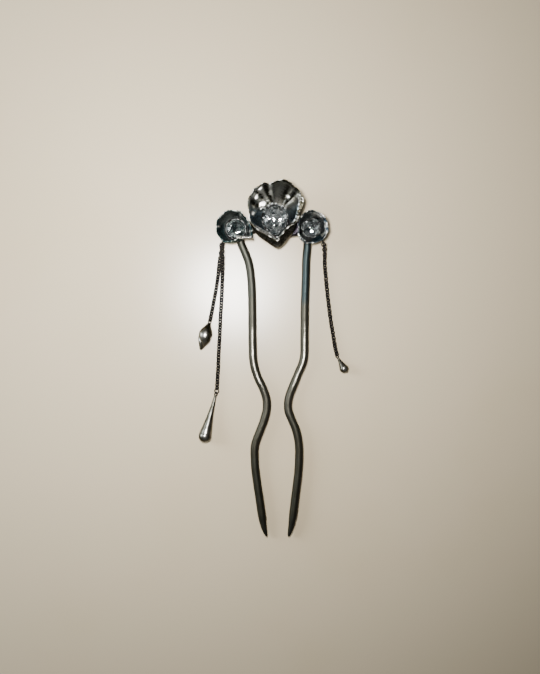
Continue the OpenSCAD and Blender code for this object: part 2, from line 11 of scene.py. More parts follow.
import bmesh
import bpy
import numpy as np
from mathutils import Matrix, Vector


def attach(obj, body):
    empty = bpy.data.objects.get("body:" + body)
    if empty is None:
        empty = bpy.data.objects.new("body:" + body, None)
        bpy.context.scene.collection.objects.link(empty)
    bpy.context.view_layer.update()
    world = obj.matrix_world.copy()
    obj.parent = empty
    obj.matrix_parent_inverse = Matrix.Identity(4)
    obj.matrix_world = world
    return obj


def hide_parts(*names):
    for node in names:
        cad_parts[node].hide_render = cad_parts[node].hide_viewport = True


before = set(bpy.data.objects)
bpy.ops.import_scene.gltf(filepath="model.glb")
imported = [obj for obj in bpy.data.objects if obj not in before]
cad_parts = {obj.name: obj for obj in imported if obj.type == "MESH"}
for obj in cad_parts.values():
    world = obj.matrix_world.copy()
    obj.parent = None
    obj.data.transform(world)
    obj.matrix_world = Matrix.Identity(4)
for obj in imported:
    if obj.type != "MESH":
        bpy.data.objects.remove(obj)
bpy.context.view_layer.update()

log = logging.getLogger("hair_pin")

MM = 0.001
ROUTE_STEPS = 8
EYE_D = 1.7
EYE_WIRE = 0.4
MIX_FACTOR, MIX_FIRST, MIX_SECOND, MIX_RESULT = 0, 6, 7, 2
NUMBER, TINT, DIRECTION = "NodeSocketFloat", "NodeSocketColor", "NodeSocketVector"
Array = np.ndarray
Piece = bpy.types.Object
Socket = bpy.types.NodeSocket
Tree = bpy.types.NodeTree
Colour = tuple[float, float, float]
Point = tuple[float, float, float]
Spot = tuple[float, float]
Triple = tuple[float, float, float]
Knuckle = tuple[float, float, float, float]
WallRow = tuple[float, float, float, float, float]


class Patina(Enum):
    """Tint that the blackening leaves in the hollows of a piece."""

    OLIVE = (0.034, 0.032, 0.022)
    TEAL = (0.012, 0.032, 0.034)
    BLUE = (0.020, 0.032, 0.042)
    VIOLET = (0.022, 0.018, 0.026)
    SOOT = (0.014, 0.012, 0.011)


class Shading(Enum):
    """How the faces of a piece are shaded."""

    SMOOTH = True
    FACETED = False


class Side(Enum):
    """Way that a point can face, as the axis of its normal."""

    RIGHT = 0
    UP = 2


# Vectors, curves and noise


def unit(v: Array) -> Array:
    """Vectors of length one along the last axis."""
    return v / np.maximum(np.linalg.norm(v, axis=-1, keepdims=True), 1e-12)


def heading(degrees: float) -> Array:
    """Direction in the plane of the surface at an angle from the x axis."""
    return np.array([math.cos(math.radians(degrees)), math.sin(math.radians(degrees))])


def across(degrees: float) -> Point:
    """Direction in the plane of the surface at a right angle to a heading."""
    return math.sin(math.radians(degrees)), -math.cos(math.radians(degrees)), 0.0


def column(values: Array) -> Array:
    """Values as a column, one row each."""
    return values[:, None]


def at_height(xy: Array, z: float) -> Array:
    """Points of the plane, one row each, lifted to a height."""
    return np.column_stack([xy, np.full(len(xy), z)])


def bump(distance: Array, width: float) -> Array:
    """Bell curve, 1 at no distance and falling away over the width."""
    return np.exp(-((distance / width) ** 2))


def angle_between(a: Array, b: float) -> Array:
    """Smallest angle between two headings, in degrees."""
    d = np.abs(a - b) % 360
    return np.minimum(d, 360 - d)


def step_up(x: Array, low: float, high: float) -> Array:
    """Smooth step from 0 at the low value to 1 at the high value."""
    t = np.clip((x - low) / (high - low), 0, 1)
    return t * t * (3 - 2 * t)


def ripple(points: Array, size: float, seed: int, waves: int = 14, calm: float = 1.6) -> Array:
    """Smooth, seeded unevenness between about -1 and 1.

    Args:
        points: places to read it at, in mm, with the coordinates along the last axis.
        size: distance from one crest to the next, in mm.
        seed: picks the pattern.
        waves: number of plane waves that are added up.
        calm: what their sum is divided by.

    Returns:
        One value for each point.
    """
    rng = np.random.default_rng(seed)
    total = np.zeros(points.shape[:-1])
    for _ in range(waves):
        direction = unit(rng.normal(size=3))
        pitch = size * rng.uniform(0.7, 1.5)
        total += np.sin(points @ direction * 2 * math.pi / pitch + rng.uniform(0, 2 * math.pi))
    return total / math.sqrt(waves) / calm


def route_curve(route: Sequence[Point], steps: int) -> Array:
    """Smooth curve through the points of a route.

    Args:
        route: points in mm, from the first ring to the last.
        steps: samples between two points.

    Returns:
        Points along the curve, one row each.
    """
    p = np.array(route, dtype=float)
    last = len(p) - 1
    out = []
    for i in range(last):
        p0, p1, p2, p3 = p[max(i - 1, 0)], p[i], p[i + 1], p[min(i + 2, last)]
        for k in range(steps + (i == last - 1)):
            t = k / steps
            inner = 2 * p0 - 5 * p1 + 4 * p2 - p3 + t * (3 * (p1 - p2) + p3 - p0)
            out.append(p1 + t / 2 * (p2 - p0 + t * inner))
    return np.array(out)


def end_along(route: Sequence[Point]) -> Array:
    """Direction in which a route reaches its last point."""
    curve = route_curve(route, ROUTE_STEPS)
    return unit(curve[-1] - curve[-4])


def side_and_up(along: Array) -> tuple[Array, Array]:
    """Directions across a line, or across each of several: the level one, and the one above it."""
    side = unit(np.cross(along, [0, 0, 1]))
    return side, np.cross(side, along)


def ring_axis(along: Array, roll: float) -> Array:
    """Axis of a ring that hangs in a chain.

    Args:
        along: direction of the chain there.
        roll: turn about that direction, in degrees, from a ring that lies flat.

    Returns:
        The axis as a unit vector.
    """
    side, up = side_and_up(along)
    a = math.radians(roll)
    return math.cos(a) * up + math.sin(a) * side


# Meshes


def grid_faces(rows: int, cols: int, wrap_rows: bool, wrap_cols: bool, first: int = 0) -> list[list[int]]:
    """Four-sided faces of a grid of points.

    Args:
        rows: number of rows.
        cols: points in each row.
        wrap_rows: joins the last row to the first.
        wrap_cols: joins the last point of a row to its first.
        first: index of the grid's first point.

    Returns:
        Four indices for each face.
    """
    i = np.arange(rows if wrap_rows else rows - 1)[:, None]
    k = np.arange(cols if wrap_cols else cols - 1)[None, :]
    i1, k1 = (i + 1) % rows, (k + 1) % cols
    quads = np.stack([i * cols + k, i * cols + k1, i1 * cols + k1, i1 * cols + k], axis=-1)
    return (quads.reshape(-1, 4) + first).tolist()


def new_object(name: str, points: Array, faces: Sequence[Sequence[int]],
               shading: Shading = Shading.SMOOTH) -> Piece:
    """Object with a mesh of points in mm, its faces turned outwards.

    Args:
        name: name of the piece.
        points: one row each.
        faces: indices of each face's points.
        shading: smooth or faceted.

    Returns:
        The object, in the scene.
    """
    mesh = bpy.data.meshes.new(name)
    mesh.from_pydata((np.asarray(points, dtype=float) * MM).tolist(), [], faces)
    work = bmesh.new()
    work.from_mesh(mesh)
    bmesh.ops.recalc_face_normals(work, faces=work.faces)
    work.to_mesh(mesh)
    work.free()
    mesh.polygons.foreach_set("use_smooth", [shading.value] * len(mesh.polygons))
    mesh.update()
    obj = bpy.data.objects.new(name, mesh)
    bpy.context.scene.collection.objects.link(obj)
    return obj


def tube_points(centres: Array, sides: Array, ups: Array, radii: Array, count: int) -> Array:
    """Rings of points round a line.

    Args:
        centres: middles of the rings.
        sides: first direction across each ring.
        ups: second direction across each ring.
        radii: radius of each ring, or of each point of each ring.
        count: points in a ring.

    Returns:
        Points by ring and place in the ring.
    """
    a = np.linspace(0, 2 * math.pi, count, endpoint=False)
    r = np.broadcast_to(np.asarray(radii, dtype=float).reshape(len(centres), -1), (len(centres), count))
    spokes = np.cos(a)[None, :, None] * sides[:, None, :] + np.sin(a)[None, :, None] * ups[:, None, :]
    return centres[:, None, :] + r[..., None] * spokes


def swollen(grid: Array, centres: Array, amount: Array) -> Array:
    """Rings of points, each point moved away from the middle of its ring by its own amount."""
    return grid + unit(grid - centres[:, None, :]) * amount[..., None]


def tube_object(name: str, grid: Array) -> Piece:
    """Closed tube through rings of points, with a fan at both ends.

    Args:
        name: name of the piece.
        grid: points by ring and place in the ring.

    Returns:
        The object, in the scene.
    """
    rings, count = grid.shape[:2]
    points = np.vstack([grid.reshape(-1, 3), grid[0].mean(0), grid[-1].mean(0)])
    faces = grid_faces(rings, count, False, True)
    start, end = rings * count, rings * count + 1
    faces += [[k, start, (k + 1) % count] for k in range(count)]
    faces += [[(rings - 1) * count + (k + 1) % count, end, (rings - 1) * count + k] for k in range(count)]
    return new_object(name, points, faces)


def ring_grid(centre: Array, axis: Array, diameter: float, wire: float, steps: int, count: int) -> Array:
    """Points of a ring of round wire.

    Args:
        centre: middle of the ring.
        axis: direction of the ring's axis.
        diameter: outer diameter.
        wire: diameter of the wire.
        steps: places round the ring.
        count: points round the wire.

    Returns:
        Points by place round the ring and round the wire.
    """
    axis = unit(np.asarray(axis, dtype=float))
    first = unit(np.cross(axis, [0, 0, 1] if abs(axis[2]) < 0.9 else [1, 0, 0]))
    second = np.cross(axis, first)
    a = np.linspace(0, 2 * math.pi, steps, endpoint=False)[:, None]
    out = np.cos(a) * first + np.sin(a) * second
    centres = np.asarray(centre, dtype=float) + out * (diameter - wire) / 2
    return tube_points(centres, out, np.broadcast_to(axis, out.shape), np.full(steps, wire / 2), count)


def rings_object(name: str, grids: Sequence[Array]) -> Piece:
    """One object out of rings, each a closed grid of points.

    Args:
        name: name of the piece.
        grids: points by place round the ring and round its wire, one grid for each ring.

    Returns:
        The object, in the scene.
    """
    points = np.vstack([g.reshape(-1, 3) for g in grids])
    faces: list[list[int]] = []
    first = 0
    for g in grids:
        faces += grid_faces(g.shape[0], g.shape[1], True, True, first)
        first += g.shape[0] * g.shape[1]
    return new_object(name, points, faces)


def store(obj: Piece, name: str, values: Array) -> None:
    """Keeps one value for each point of a piece, for its material to read.

    Args:
        obj: the piece.
        name: name that the material reads.
        values: one for each point.
    """
    layer = obj.data.attributes.new(name, "FLOAT", "POINT")
    layer.data.foreach_set("value", np.ascontiguousarray(values, dtype=np.float32))


def places(obj: Piece) -> Array:
    """Points of a piece.

    Args:
        obj: the piece.

    Returns:
        The points in mm, one row each.
    """
    co = np.empty(len(obj.data.vertices) * 3)
    obj.data.vertices.foreach_get("co", co)
    return co.reshape(-1, 3) / MM


def normals(obj: Piece) -> Array:
    """Normals of a piece.

    Args:
        obj: the piece.

    Returns:
        The normal of each point, one row each.
    """
    normal = np.empty(len(obj.data.vertices) * 3, dtype=np.float32)
    obj.data.vertices.foreach_get("normal", normal)
    return normal.reshape(-1, 3)


def facing(obj: Piece, side: Side) -> Array:
    """How far each point of a piece faces one way, from -1 to 1."""
    return normals(obj)[:, side.value].astype(float)


def proudness(obj: Piece, reach: float, rounds: int, pull: float = 0.6) -> Array:
    """How far each point stands out of its neighbourhood, which is where handling polishes the metal.

    Args:
        obj: the piece.
        reach: height in mm that counts as fully proud.
        rounds: how many rings of neighbours are averaged.
        pull: how far each round moves a point to the middle of its neighbours.

    Returns:
        0 in a hollow, 0.5 on even metal and 1 on an edge.
    """
    mesh = obj.data
    n = len(mesh.vertices)
    co = np.empty(n * 3)
    mesh.vertices.foreach_get("co", co)
    edges = np.empty(len(mesh.edges) * 2, dtype=np.int64)
    mesh.edges.foreach_get("vertices", edges)
    a, b = edges[0::2], edges[1::2]
    co = co.reshape(-1, 3)
    degree = np.maximum(np.bincount(a, minlength=n) + np.bincount(b, minlength=n), 1)
    even = co.copy()
    for _ in range(rounds):
        total = np.stack([
            np.bincount(a, even[b, i], n) + np.bincount(b, even[a, i], n) for i in range(3)
        ], axis=1)
        even = (1 - pull) * even + pull * total / degree[:, None]
    height = ((co - even) * normals(obj)).sum(1) / MM
    return np.clip(0.5 + 0.5 * height / reach, 0, 1)


# Shader node groups and finishes


class Effect:
    """A shader node group with named inputs and outputs, shared by the finishes."""

    def __init__(self, name: str, inputs: dict[str, tuple[str, object]], outputs: dict[str, str]) -> None:
        """Makes the group and its sockets.

        Args:
            name: name of the group.
            inputs: socket type and first value by name.
            outputs: socket type by name.
        """
        self.tree = bpy.data.node_groups.new(name, "ShaderNodeTree")
        for label, (kind, value) in inputs.items():
            socket = self.tree.interface.new_socket(name=label, in_out="INPUT", socket_type=kind)
            socket.default_value = value
        for label, kind in outputs.items():
            self.tree.interface.new_socket(name=label, in_out="OUTPUT", socket_type=kind)
        self.source = self.tree.nodes.new("NodeGroupInput").outputs
        self.result = self.tree.nodes.new("NodeGroupOutput").inputs

    def add(self, kind: str, **settings: object) -> bpy.types.Node:
        """New node with some of its settings."""
        return add_node(self.tree, kind, **settings)

    def link(self, start: Socket, end: Socket) -> None:
        """Joins two sockets."""
        self.tree.links.new(start, end)

    def spots(self, scale: Socket, detail: float, roughness: float) -> Socket:
        """Noise over the piece.

        Args:
            scale: socket that gives its scale.
            detail: octaves.
            roughness: weight of the finer octaves.

        Returns:
            The socket of the noise value.
        """
        place = self.add("ShaderNodeTexCoord")
        noise = self.add("ShaderNodeTexNoise")
        noise.inputs["Detail"].default_value = detail
        noise.inputs["Roughness"].default_value = roughness
        self.link(place.outputs["Object"], noise.inputs["Vector"])
        self.link(scale, noise.inputs["Scale"])
        return noise.outputs["Fac"]

    def between(self, value: Socket, low: float, high: float) -> Socket:
        """Smooth mask of a value.

        Args:
            value: socket of the value.
            low: bound below which the mask is 0.
            high: bound above which it is 1.

        Returns:
            The socket of the mask.
        """
        node = self.add("ShaderNodeMapRange", interpolation_type="SMOOTHSTEP")
        node.inputs["From Min"].default_value = low
        node.inputs["From Max"].default_value = high
        self.link(value, node.inputs["Value"])
        return node.outputs["Result"]

    def maths(self, operation: str, a: object, b: object) -> Socket:
        """Result of a sum on two sockets or numbers.

        Args:
            operation: name of the sum.
            a: first socket or number.
            b: second socket or number.

        Returns:
            The socket of the result.
        """
        node = self.add("ShaderNodeMath", operation=operation)
        for socket, value in zip(node.inputs, (a, b)):
            if isinstance(value, (int, float)):
                socket.default_value = value
            else:
                self.link(value, socket)
        return node.outputs["Value"]

    def blend(self, mask: Socket, a: Socket, b: Socket) -> Socket:
        """Colour that goes from the first to the second as the mask goes from 0 to 1.

        Args:
            mask: socket of the mask.
            a: socket of the first colour.
            b: socket of the second colour.

        Returns:
            The socket of the colour between them.
        """
        node = self.add("ShaderNodeMix", data_type="RGBA")
        self.link(mask, node.inputs[MIX_FACTOR])
        self.link(a, node.inputs[MIX_FIRST])
        self.link(b, node.inputs[MIX_SECOND])
        return node.outputs[MIX_RESULT]


def add_node(tree: Tree, kind: str, **settings: object) -> bpy.types.Node:
    """New node of a tree.

    Args:
        tree: the tree.
        kind: Blender's name for this kind of node.
        settings: the node's properties by name.

    Returns:
        The node.
    """
    node = tree.nodes.new(kind)
    for key, value in settings.items():
        setattr(node, key, value)
    return node


def tarnish_and_light_effect() -> Tree:
    """Colour of blackened silver: dark in the hollows, grey on even metal and bright where it is rubbed.

    The depth input darkens it further as painted shade, and the wear input also carries painted highlights.

    Returns:
        The node group.
    """
    group = Effect(
        "TarnishAndLight",
        {
            "Wear": (NUMBER, 0.5),
            "Depth": (NUMBER, 0.0),
            "Film": (NUMBER, 0.0),
            "Hollow": (TINT, (0.02, 0.02, 0.02, 1)),
            "Body": (TINT, (0.2, 0.2, 0.17, 1)),
            "Film Tint": (TINT, (0.1, 0.14, 0.16, 1)),
            "Rubbed": (TINT, (0.75, 0.74, 0.7, 1)),
            "Clouds": (NUMBER, 0.4),
            "Cloud Scale": (NUMBER, 400.0),
            "Fleck Scale": (NUMBER, 2600.0),
        },
        {"Colour": TINT, "Polish": NUMBER},
    )
    given = group.source
    cloud = group.spots(given["Cloud Scale"], 3.0, 0.55)
    fleck = group.spots(given["Fleck Scale"], 2.0, 0.6)
    uneven = group.maths("MULTIPLY", group.maths("SUBTRACT", cloud, 0.5), given["Clouds"])
    fine = group.maths("MULTIPLY", group.maths("SUBTRACT", fleck, 0.5), 0.3)
    # Painted shade: the depth input darkens the colour, deeper in a cup and lower on the fork's legs.
    painted_shade = group.maths("MULTIPLY", given["Depth"], 0.25)
    worn = group.maths("ADD", given["Wear"], group.maths("ADD", uneven, fine))
    level = group.maths("SUBTRACT", worn, painted_shade)
    veiled = group.maths("ADD", given["Film"], group.maths("MULTIPLY", uneven, 1.5))
    skin = group.blend(group.between(veiled, 0.2, 0.8), given["Body"], given["Film Tint"])
    body = group.blend(group.between(level, 0.12, 0.5), given["Hollow"], skin)
    rubbed = group.between(level, 0.55, 0.86)
    group.link(group.blend(rubbed, body, given["Rubbed"]), group.result["Colour"])
    group.link(rubbed, group.result["Polish"])
    return group.tree


def handling_effect() -> Tree:
    """Roughness of metal: matt where the blackening sits, polished where it is rubbed, with faint smears.

    Returns:
        The node group.
    """
    group = Effect(
        "Handling",
        {
            "Polish": (NUMBER, 0.0),
            "Matt": (NUMBER, 0.4),
            "Polished": (NUMBER, 0.2),
            "Smear Scale": (NUMBER, 700.0),
        },
        {"Roughness": NUMBER},
    )
    smear = group.maths("SUBTRACT", group.spots(group.source["Smear Scale"], 4.0, 0.6), 0.5)
    span = group.maths("SUBTRACT", group.source["Polished"], group.source["Matt"])
    even = group.maths("ADD", group.source["Matt"], group.maths("MULTIPLY", span, group.source["Polish"]))
    group.link(group.maths("ADD", even, group.maths("MULTIPLY", smear, 0.22)), group.result["Roughness"])
    return group.tree


def forging_effect() -> Tree:
    """Height of the marks in hand-worked silver: shallow dents with fine pits over them.

    Returns:
        The node group.
    """
    group = Effect(
        "Forging",
        {
            "Dent Scale": (NUMBER, 900.0),
            "Pit Scale": (NUMBER, 5000.0),
            "Dents": (NUMBER, 0.6),
            "Pits": (NUMBER, 0.3),
        },
        {"Height": NUMBER},
    )
    dents = group.maths("MULTIPLY", group.spots(group.source["Dent Scale"], 1.0, 0.4), group.source["Dents"])
    pits = group.maths("MULTIPLY", group.spots(group.source["Pit Scale"], 3.0, 0.7), group.source["Pits"])
    group.link(group.maths("ADD", dents, pits), group.result["Height"])
    return group.tree


def facet_effect() -> Tree:
    """Colour and normal of a cut stone: small inner facets, each with its own slant and painted tone of light
    or dark.

    Returns:
        The node group.
    """
    group = Effect(
        "Facets",
        {
            "Clear": (TINT, (0.95, 0.98, 0.98, 1)),
            "Shade": (TINT, (0.2, 0.23, 0.24, 1)),
            "Facet Scale": (NUMBER, 800.0),
            "Pattern": (NUMBER, 0.0),
            "Slant": (NUMBER, 0.2),
        },
        {"Colour": TINT, "Normal": DIRECTION},
    )
    place = group.add("ShaderNodeTexCoord")
    cells = group.add("ShaderNodeTexVoronoi", voronoi_dimensions="4D")
    group.link(place.outputs["Object"], cells.inputs["Vector"])
    group.link(group.source["Facet Scale"], cells.inputs["Scale"])
    group.link(group.source["Pattern"], cells.inputs["W"])
    scattered = group.maths("FRACT", group.maths("MULTIPLY", cells.outputs["Color"], 7.3), 0.0)
    # Painted reflection: each facet's tone, from the painted shade to the clear colour.
    tone = group.between(scattered, 0.15, 0.75)
    group.link(group.blend(tone, group.source["Shade"], group.source["Clear"]), group.result["Colour"])
    even = group.add("ShaderNodeVectorMath", operation="SUBTRACT")
    even.inputs[1].default_value = (0.5, 0.5, 0.5)
    group.link(cells.outputs["Color"], even.inputs[0])
    lean = group.add("ShaderNodeVectorMath", operation="SCALE")
    group.link(even.outputs["Vector"], lean.inputs[0])
    group.link(group.source["Slant"], lean.inputs["Scale"])
    face = group.add("ShaderNodeNewGeometry")
    turned = group.add("ShaderNodeVectorMath", operation="ADD")
    group.link(face.outputs["Normal"], turned.inputs[0])
    group.link(lean.outputs["Vector"], turned.inputs[1])
    flat = group.add("ShaderNodeVectorMath", operation="NORMALIZE")
    group.link(turned.outputs["Vector"], flat.inputs[0])
    group.link(flat.outputs["Vector"], group.result["Normal"])
    return group.tree


def veil_effect() -> Tree:
    """Colour that is nearly even, with faint cloudy veils.

    Returns:
        The node group.
    """
    group = Effect(
        "Veils",
        {
            "Clear": (TINT, (0.9, 0.97, 0.96, 1)),
            "Veil": (TINT, (0.75, 0.85, 0.84, 1)),
            "Veil Scale": (NUMBER, 500.0),
        },
        {"Colour": TINT},
    )
    mask = group.between(group.spots(group.source["Veil Scale"], 4.0, 0.6), 0.48, 0.72)
    group.link(group.blend(mask, group.source["Clear"], group.source["Veil"]), group.result["Colour"])
    return group.tree


class Workshop:
    """Builds each shared effect once and hands it to the finishes."""

    makers: dict[str, Callable[[], Tree]] = {
        "TarnishAndLight": tarnish_and_light_effect,
        "Handling": handling_effect,
        "Forging": forging_effect,
        "Veils": veil_effect,
        "Facets": facet_effect,
    }

    @classmethod
    def effect(cls: type["Workshop"], tree: Tree, name: str, **values: object) -> bpy.types.Node:
        """Places a shared effect in a material.

        Args:
            tree: the material's nodes.
            name: name of the effect.
            values: value of each input, with underscores for the spaces in its name.

        Returns:
            The group's node.
        """
        group = bpy.data.node_groups.get(name) or cls.makers[name]()
        node = add_node(tree, "ShaderNodeGroup", node_tree=group)
        for key, value in values.items():
            node.inputs[key.replace("_", " ")].default_value = value
        return node


def rgba(colour: Colour) -> tuple[float, float, float, float]:
    """Colour with full cover."""
    return (*colour, 1.0)


def new_material(name: str) -> tuple[bpy.types.Material, Tree, bpy.types.Node]:
    """Empty material with a Principled shader.

    Args:
        name: name of the material.

    Returns:
        The material, its nodes and the shader's node.
    """
    material = bpy.data.materials.new(name)
    material.use_nodes = True
    tree = material.node_tree
    tree.nodes.clear()
    shader = add_node(tree, "ShaderNodeBsdfPrincipled")
    output = add_node(tree, "ShaderNodeOutputMaterial")
    tree.links.new(shader.outputs["BSDF"], output.inputs["Surface"])
    return material, tree, shader


@dataclass(frozen=True)
class SilverFinish:
    """Blackened silver, rubbed bright on its edges.

    The patina lies in the hollows, the body is even metal, the film tints parts of it, and the rubbed
    colour shows on the edges and on painted highlights. Matt and polished are the roughness of the
    blackening and of the rubbed metal.
    The relief is the depth in mm of the dents and pits.
    """

    name: str
    patina: Patina = Patina.OLIVE
    body: Colour = (0.17, 0.165, 0.14)
    film: Colour = (0.10, 0.15, 0.18)
    rubbed: Colour = (0.80, 0.79, 0.74)
    matt: float = 0.42
    polished: float = 0.2
    clouds: float = 0.3
    cloud_scale: float = 380.0
    dent_scale: float = 800.0
    dents: float = 0.6
    pits: float = 0.25
    relief: float = 0.06
    relief_strength: float = 0.6
    metal: float = 1.0
    specular: float = 0.5

    def material(self) -> bpy.types.Material:
        """The finish as a material, made once.

        Returns:
            The material.
        """
        if self.name in bpy.data.materials:
            return bpy.data.materials[self.name]
        material, tree, shader = new_material(self.name)
        tarnish_and_light = Workshop.effect(tree, "TarnishAndLight", Hollow=rgba(self.patina.value), Body=rgba(self.body),
                                  Film_Tint=rgba(self.film), Rubbed=rgba(self.rubbed),
                                  Clouds=self.clouds, Cloud_Scale=self.cloud_scale)
        handling = Workshop.effect(tree, "Handling", Matt=self.matt, Polished=self.polished)
        forging = Workshop.effect(tree, "Forging", Dent_Scale=self.dent_scale, Dents=self.dents,
                                  Pits=self.pits)
        relief = add_node(tree, "ShaderNodeBump")
        relief.inputs["Strength"].default_value = self.relief_strength
        relief.inputs["Distance"].default_value = self.relief * MM
        links = tree.links
        for label in ("Wear", "Depth", "Film"):
            value = add_node(tree, "ShaderNodeAttribute", attribute_name=label.lower())
            links.new(value.outputs["Fac"], tarnish_and_light.inputs[label])
        links.new(tarnish_and_light.outputs["Colour"], shader.inputs["Base Color"])
        links.new(tarnish_and_light.outputs["Polish"], handling.inputs["Polish"])
        links.new(handling.outputs["Roughness"], shader.inputs["Roughness"])
        links.new(forging.outputs["Height"], relief.inputs["Height"])
        links.new(relief.outputs["Normal"], shader.inputs["Normal"])
        shader.inputs["Metallic"].default_value = self.metal
        shader.inputs["Specular IOR Level"].default_value = self.specular
        return material


@dataclass(frozen=True)
class CrystalFinish:
    """Clear cut crystal, sparkling with inner facets.

    The pattern picks the inner facets, each coloured between the clear colour and the painted shade as a
    painted reflection. The slant says how far they lean, and the index is the crystal's index of refraction.
    """

    name: str
    pattern: float
    clear: Colour = (0.93, 0.98, 0.98)
    painted_shade: Colour = (0.10, 0.125, 0.13)
    index: float = 1.75
    clarity: float = 0.95
    facet_scale: float = 820.0
    slant: float = 0.24
    roughness: float = 0.01

    def material(self) -> bpy.types.Material:
        """The finish as a material, made once.

        Returns:
            The material.
        """
        if self.name in bpy.data.materials:
            return bpy.data.materials[self.name]
        material, tree, shader = new_material(self.name)
        facets = Workshop.effect(tree, "Facets", Clear=rgba(self.clear), Shade=rgba(self.painted_shade),
                                 Facet_Scale=self.facet_scale, Pattern=self.pattern, Slant=self.slant)
        tree.links.new(facets.outputs["Colour"], shader.inputs["Base Color"])
        tree.links.new(facets.outputs["Normal"], shader.inputs["Normal"])
        shader.inputs["Roughness"].default_value = self.roughness
        shader.inputs["IOR"].default_value = self.index
        shader.inputs["Transmission Weight"].default_value = self.clarity
        return material


@dataclass(frozen=True)
class FloorFinish:
    """Plain pale stone with a soft sheen, as light as the room's sides where it meets them.

    The glow that makes it so starts well outside the camera's view, at near_m metres from the pin.
    """

    name: str
    pale: Colour = (0.72, 0.605, 0.42)
    warm: Colour = (0.70, 0.58, 0.39)
    veil_scale: float = 9.0
    roughness: float = 0.22
    specular: float = 0.45
    far_light: Colour = (0.135, 0.135, 0.13)
    near_m: float = 0.16
    far_m: float = 0.42

    def material(self) -> bpy.types.Material:
        """The finish as a material.

        Returns:
            The material.
        """
        material, tree, shader = new_material(self.name)
        veils = Workshop.effect(tree, "Veils", Clear=rgba(self.pale), Veil=rgba(self.warm),
                                Veil_Scale=self.veil_scale)
        tree.links.new(veils.outputs["Colour"], shader.inputs["Base Color"])
        shader.inputs["Roughness"].default_value = self.roughness
        shader.inputs["Specular IOR Level"].default_value = self.specular
        place = add_node(tree, "ShaderNodeNewGeometry")
        away = add_node(tree, "ShaderNodeVectorMath", operation="LENGTH")
        tree.links.new(place.outputs["Position"], away.inputs[0])
        far = add_node(tree, "ShaderNodeMapRange")
        far.inputs["From Min"].default_value = self.near_m
        far.inputs["From Max"].default_value = self.far_m
        tree.links.new(away.outputs["Value"], far.inputs["Value"])
        ramp = add_node(tree, "ShaderNodeValToRGB")
        ramp.color_ramp.elements[0].color = rgba((0.0, 0.0, 0.0))
        ramp.color_ramp.elements[1].color = rgba(self.far_light)
        tree.links.new(far.outputs["Result"], ramp.inputs["Fac"])
        tree.links.new(ramp.outputs["Color"], shader.inputs["Emission Color"])
        shader.inputs["Emission Strength"].default_value = 1.0
        return material


def finish_piece(obj: Piece, finish: SilverFinish | CrystalFinish, node: str) -> None:
    """Gives a piece its finish and the body that it rides on, and hides the solid that it stands for.

    Args:
        obj: the piece.
        finish: what it is made of.
        node: solid that the piece stands for.
    """
    obj.data.materials.append(finish.material())
    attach(obj, "root")
    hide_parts(node)
    mesh = obj.data
    log.info("%s: %d points, %d faces, for %s", obj.name, len(mesh.vertices), len(mesh.polygons), node)


def store_wear_and_light(obj: Piece, wear: Array, depth: Array | float = 0.0, film: Array | float = 0.0) -> None:
    """Stores the wear, the depth and the film of a metal piece, which also carry painted highlights and
    shade.

    Args:
        obj: the piece.
        wear: how far each point is rubbed, plus painted highlights and shade on some pieces: about 0.1
        black, 0.5 even metal, 0.9 bright.
        depth: how much painted shade each point gets, from 0 to 1; on a cup, how deep in its hollow it lies.
        film: how much of the finish's film tint each point shows, from 0 to 1.
    """
    count = (len(obj.data.vertices),)
    store(obj, "wear", np.clip(wear, 0, 1))
    store(obj, "depth", np.broadcast_to(np.asarray(depth, dtype=float), count))
    store(obj, "film", np.broadcast_to(np.asarray(film, dtype=float), count))


# The fork


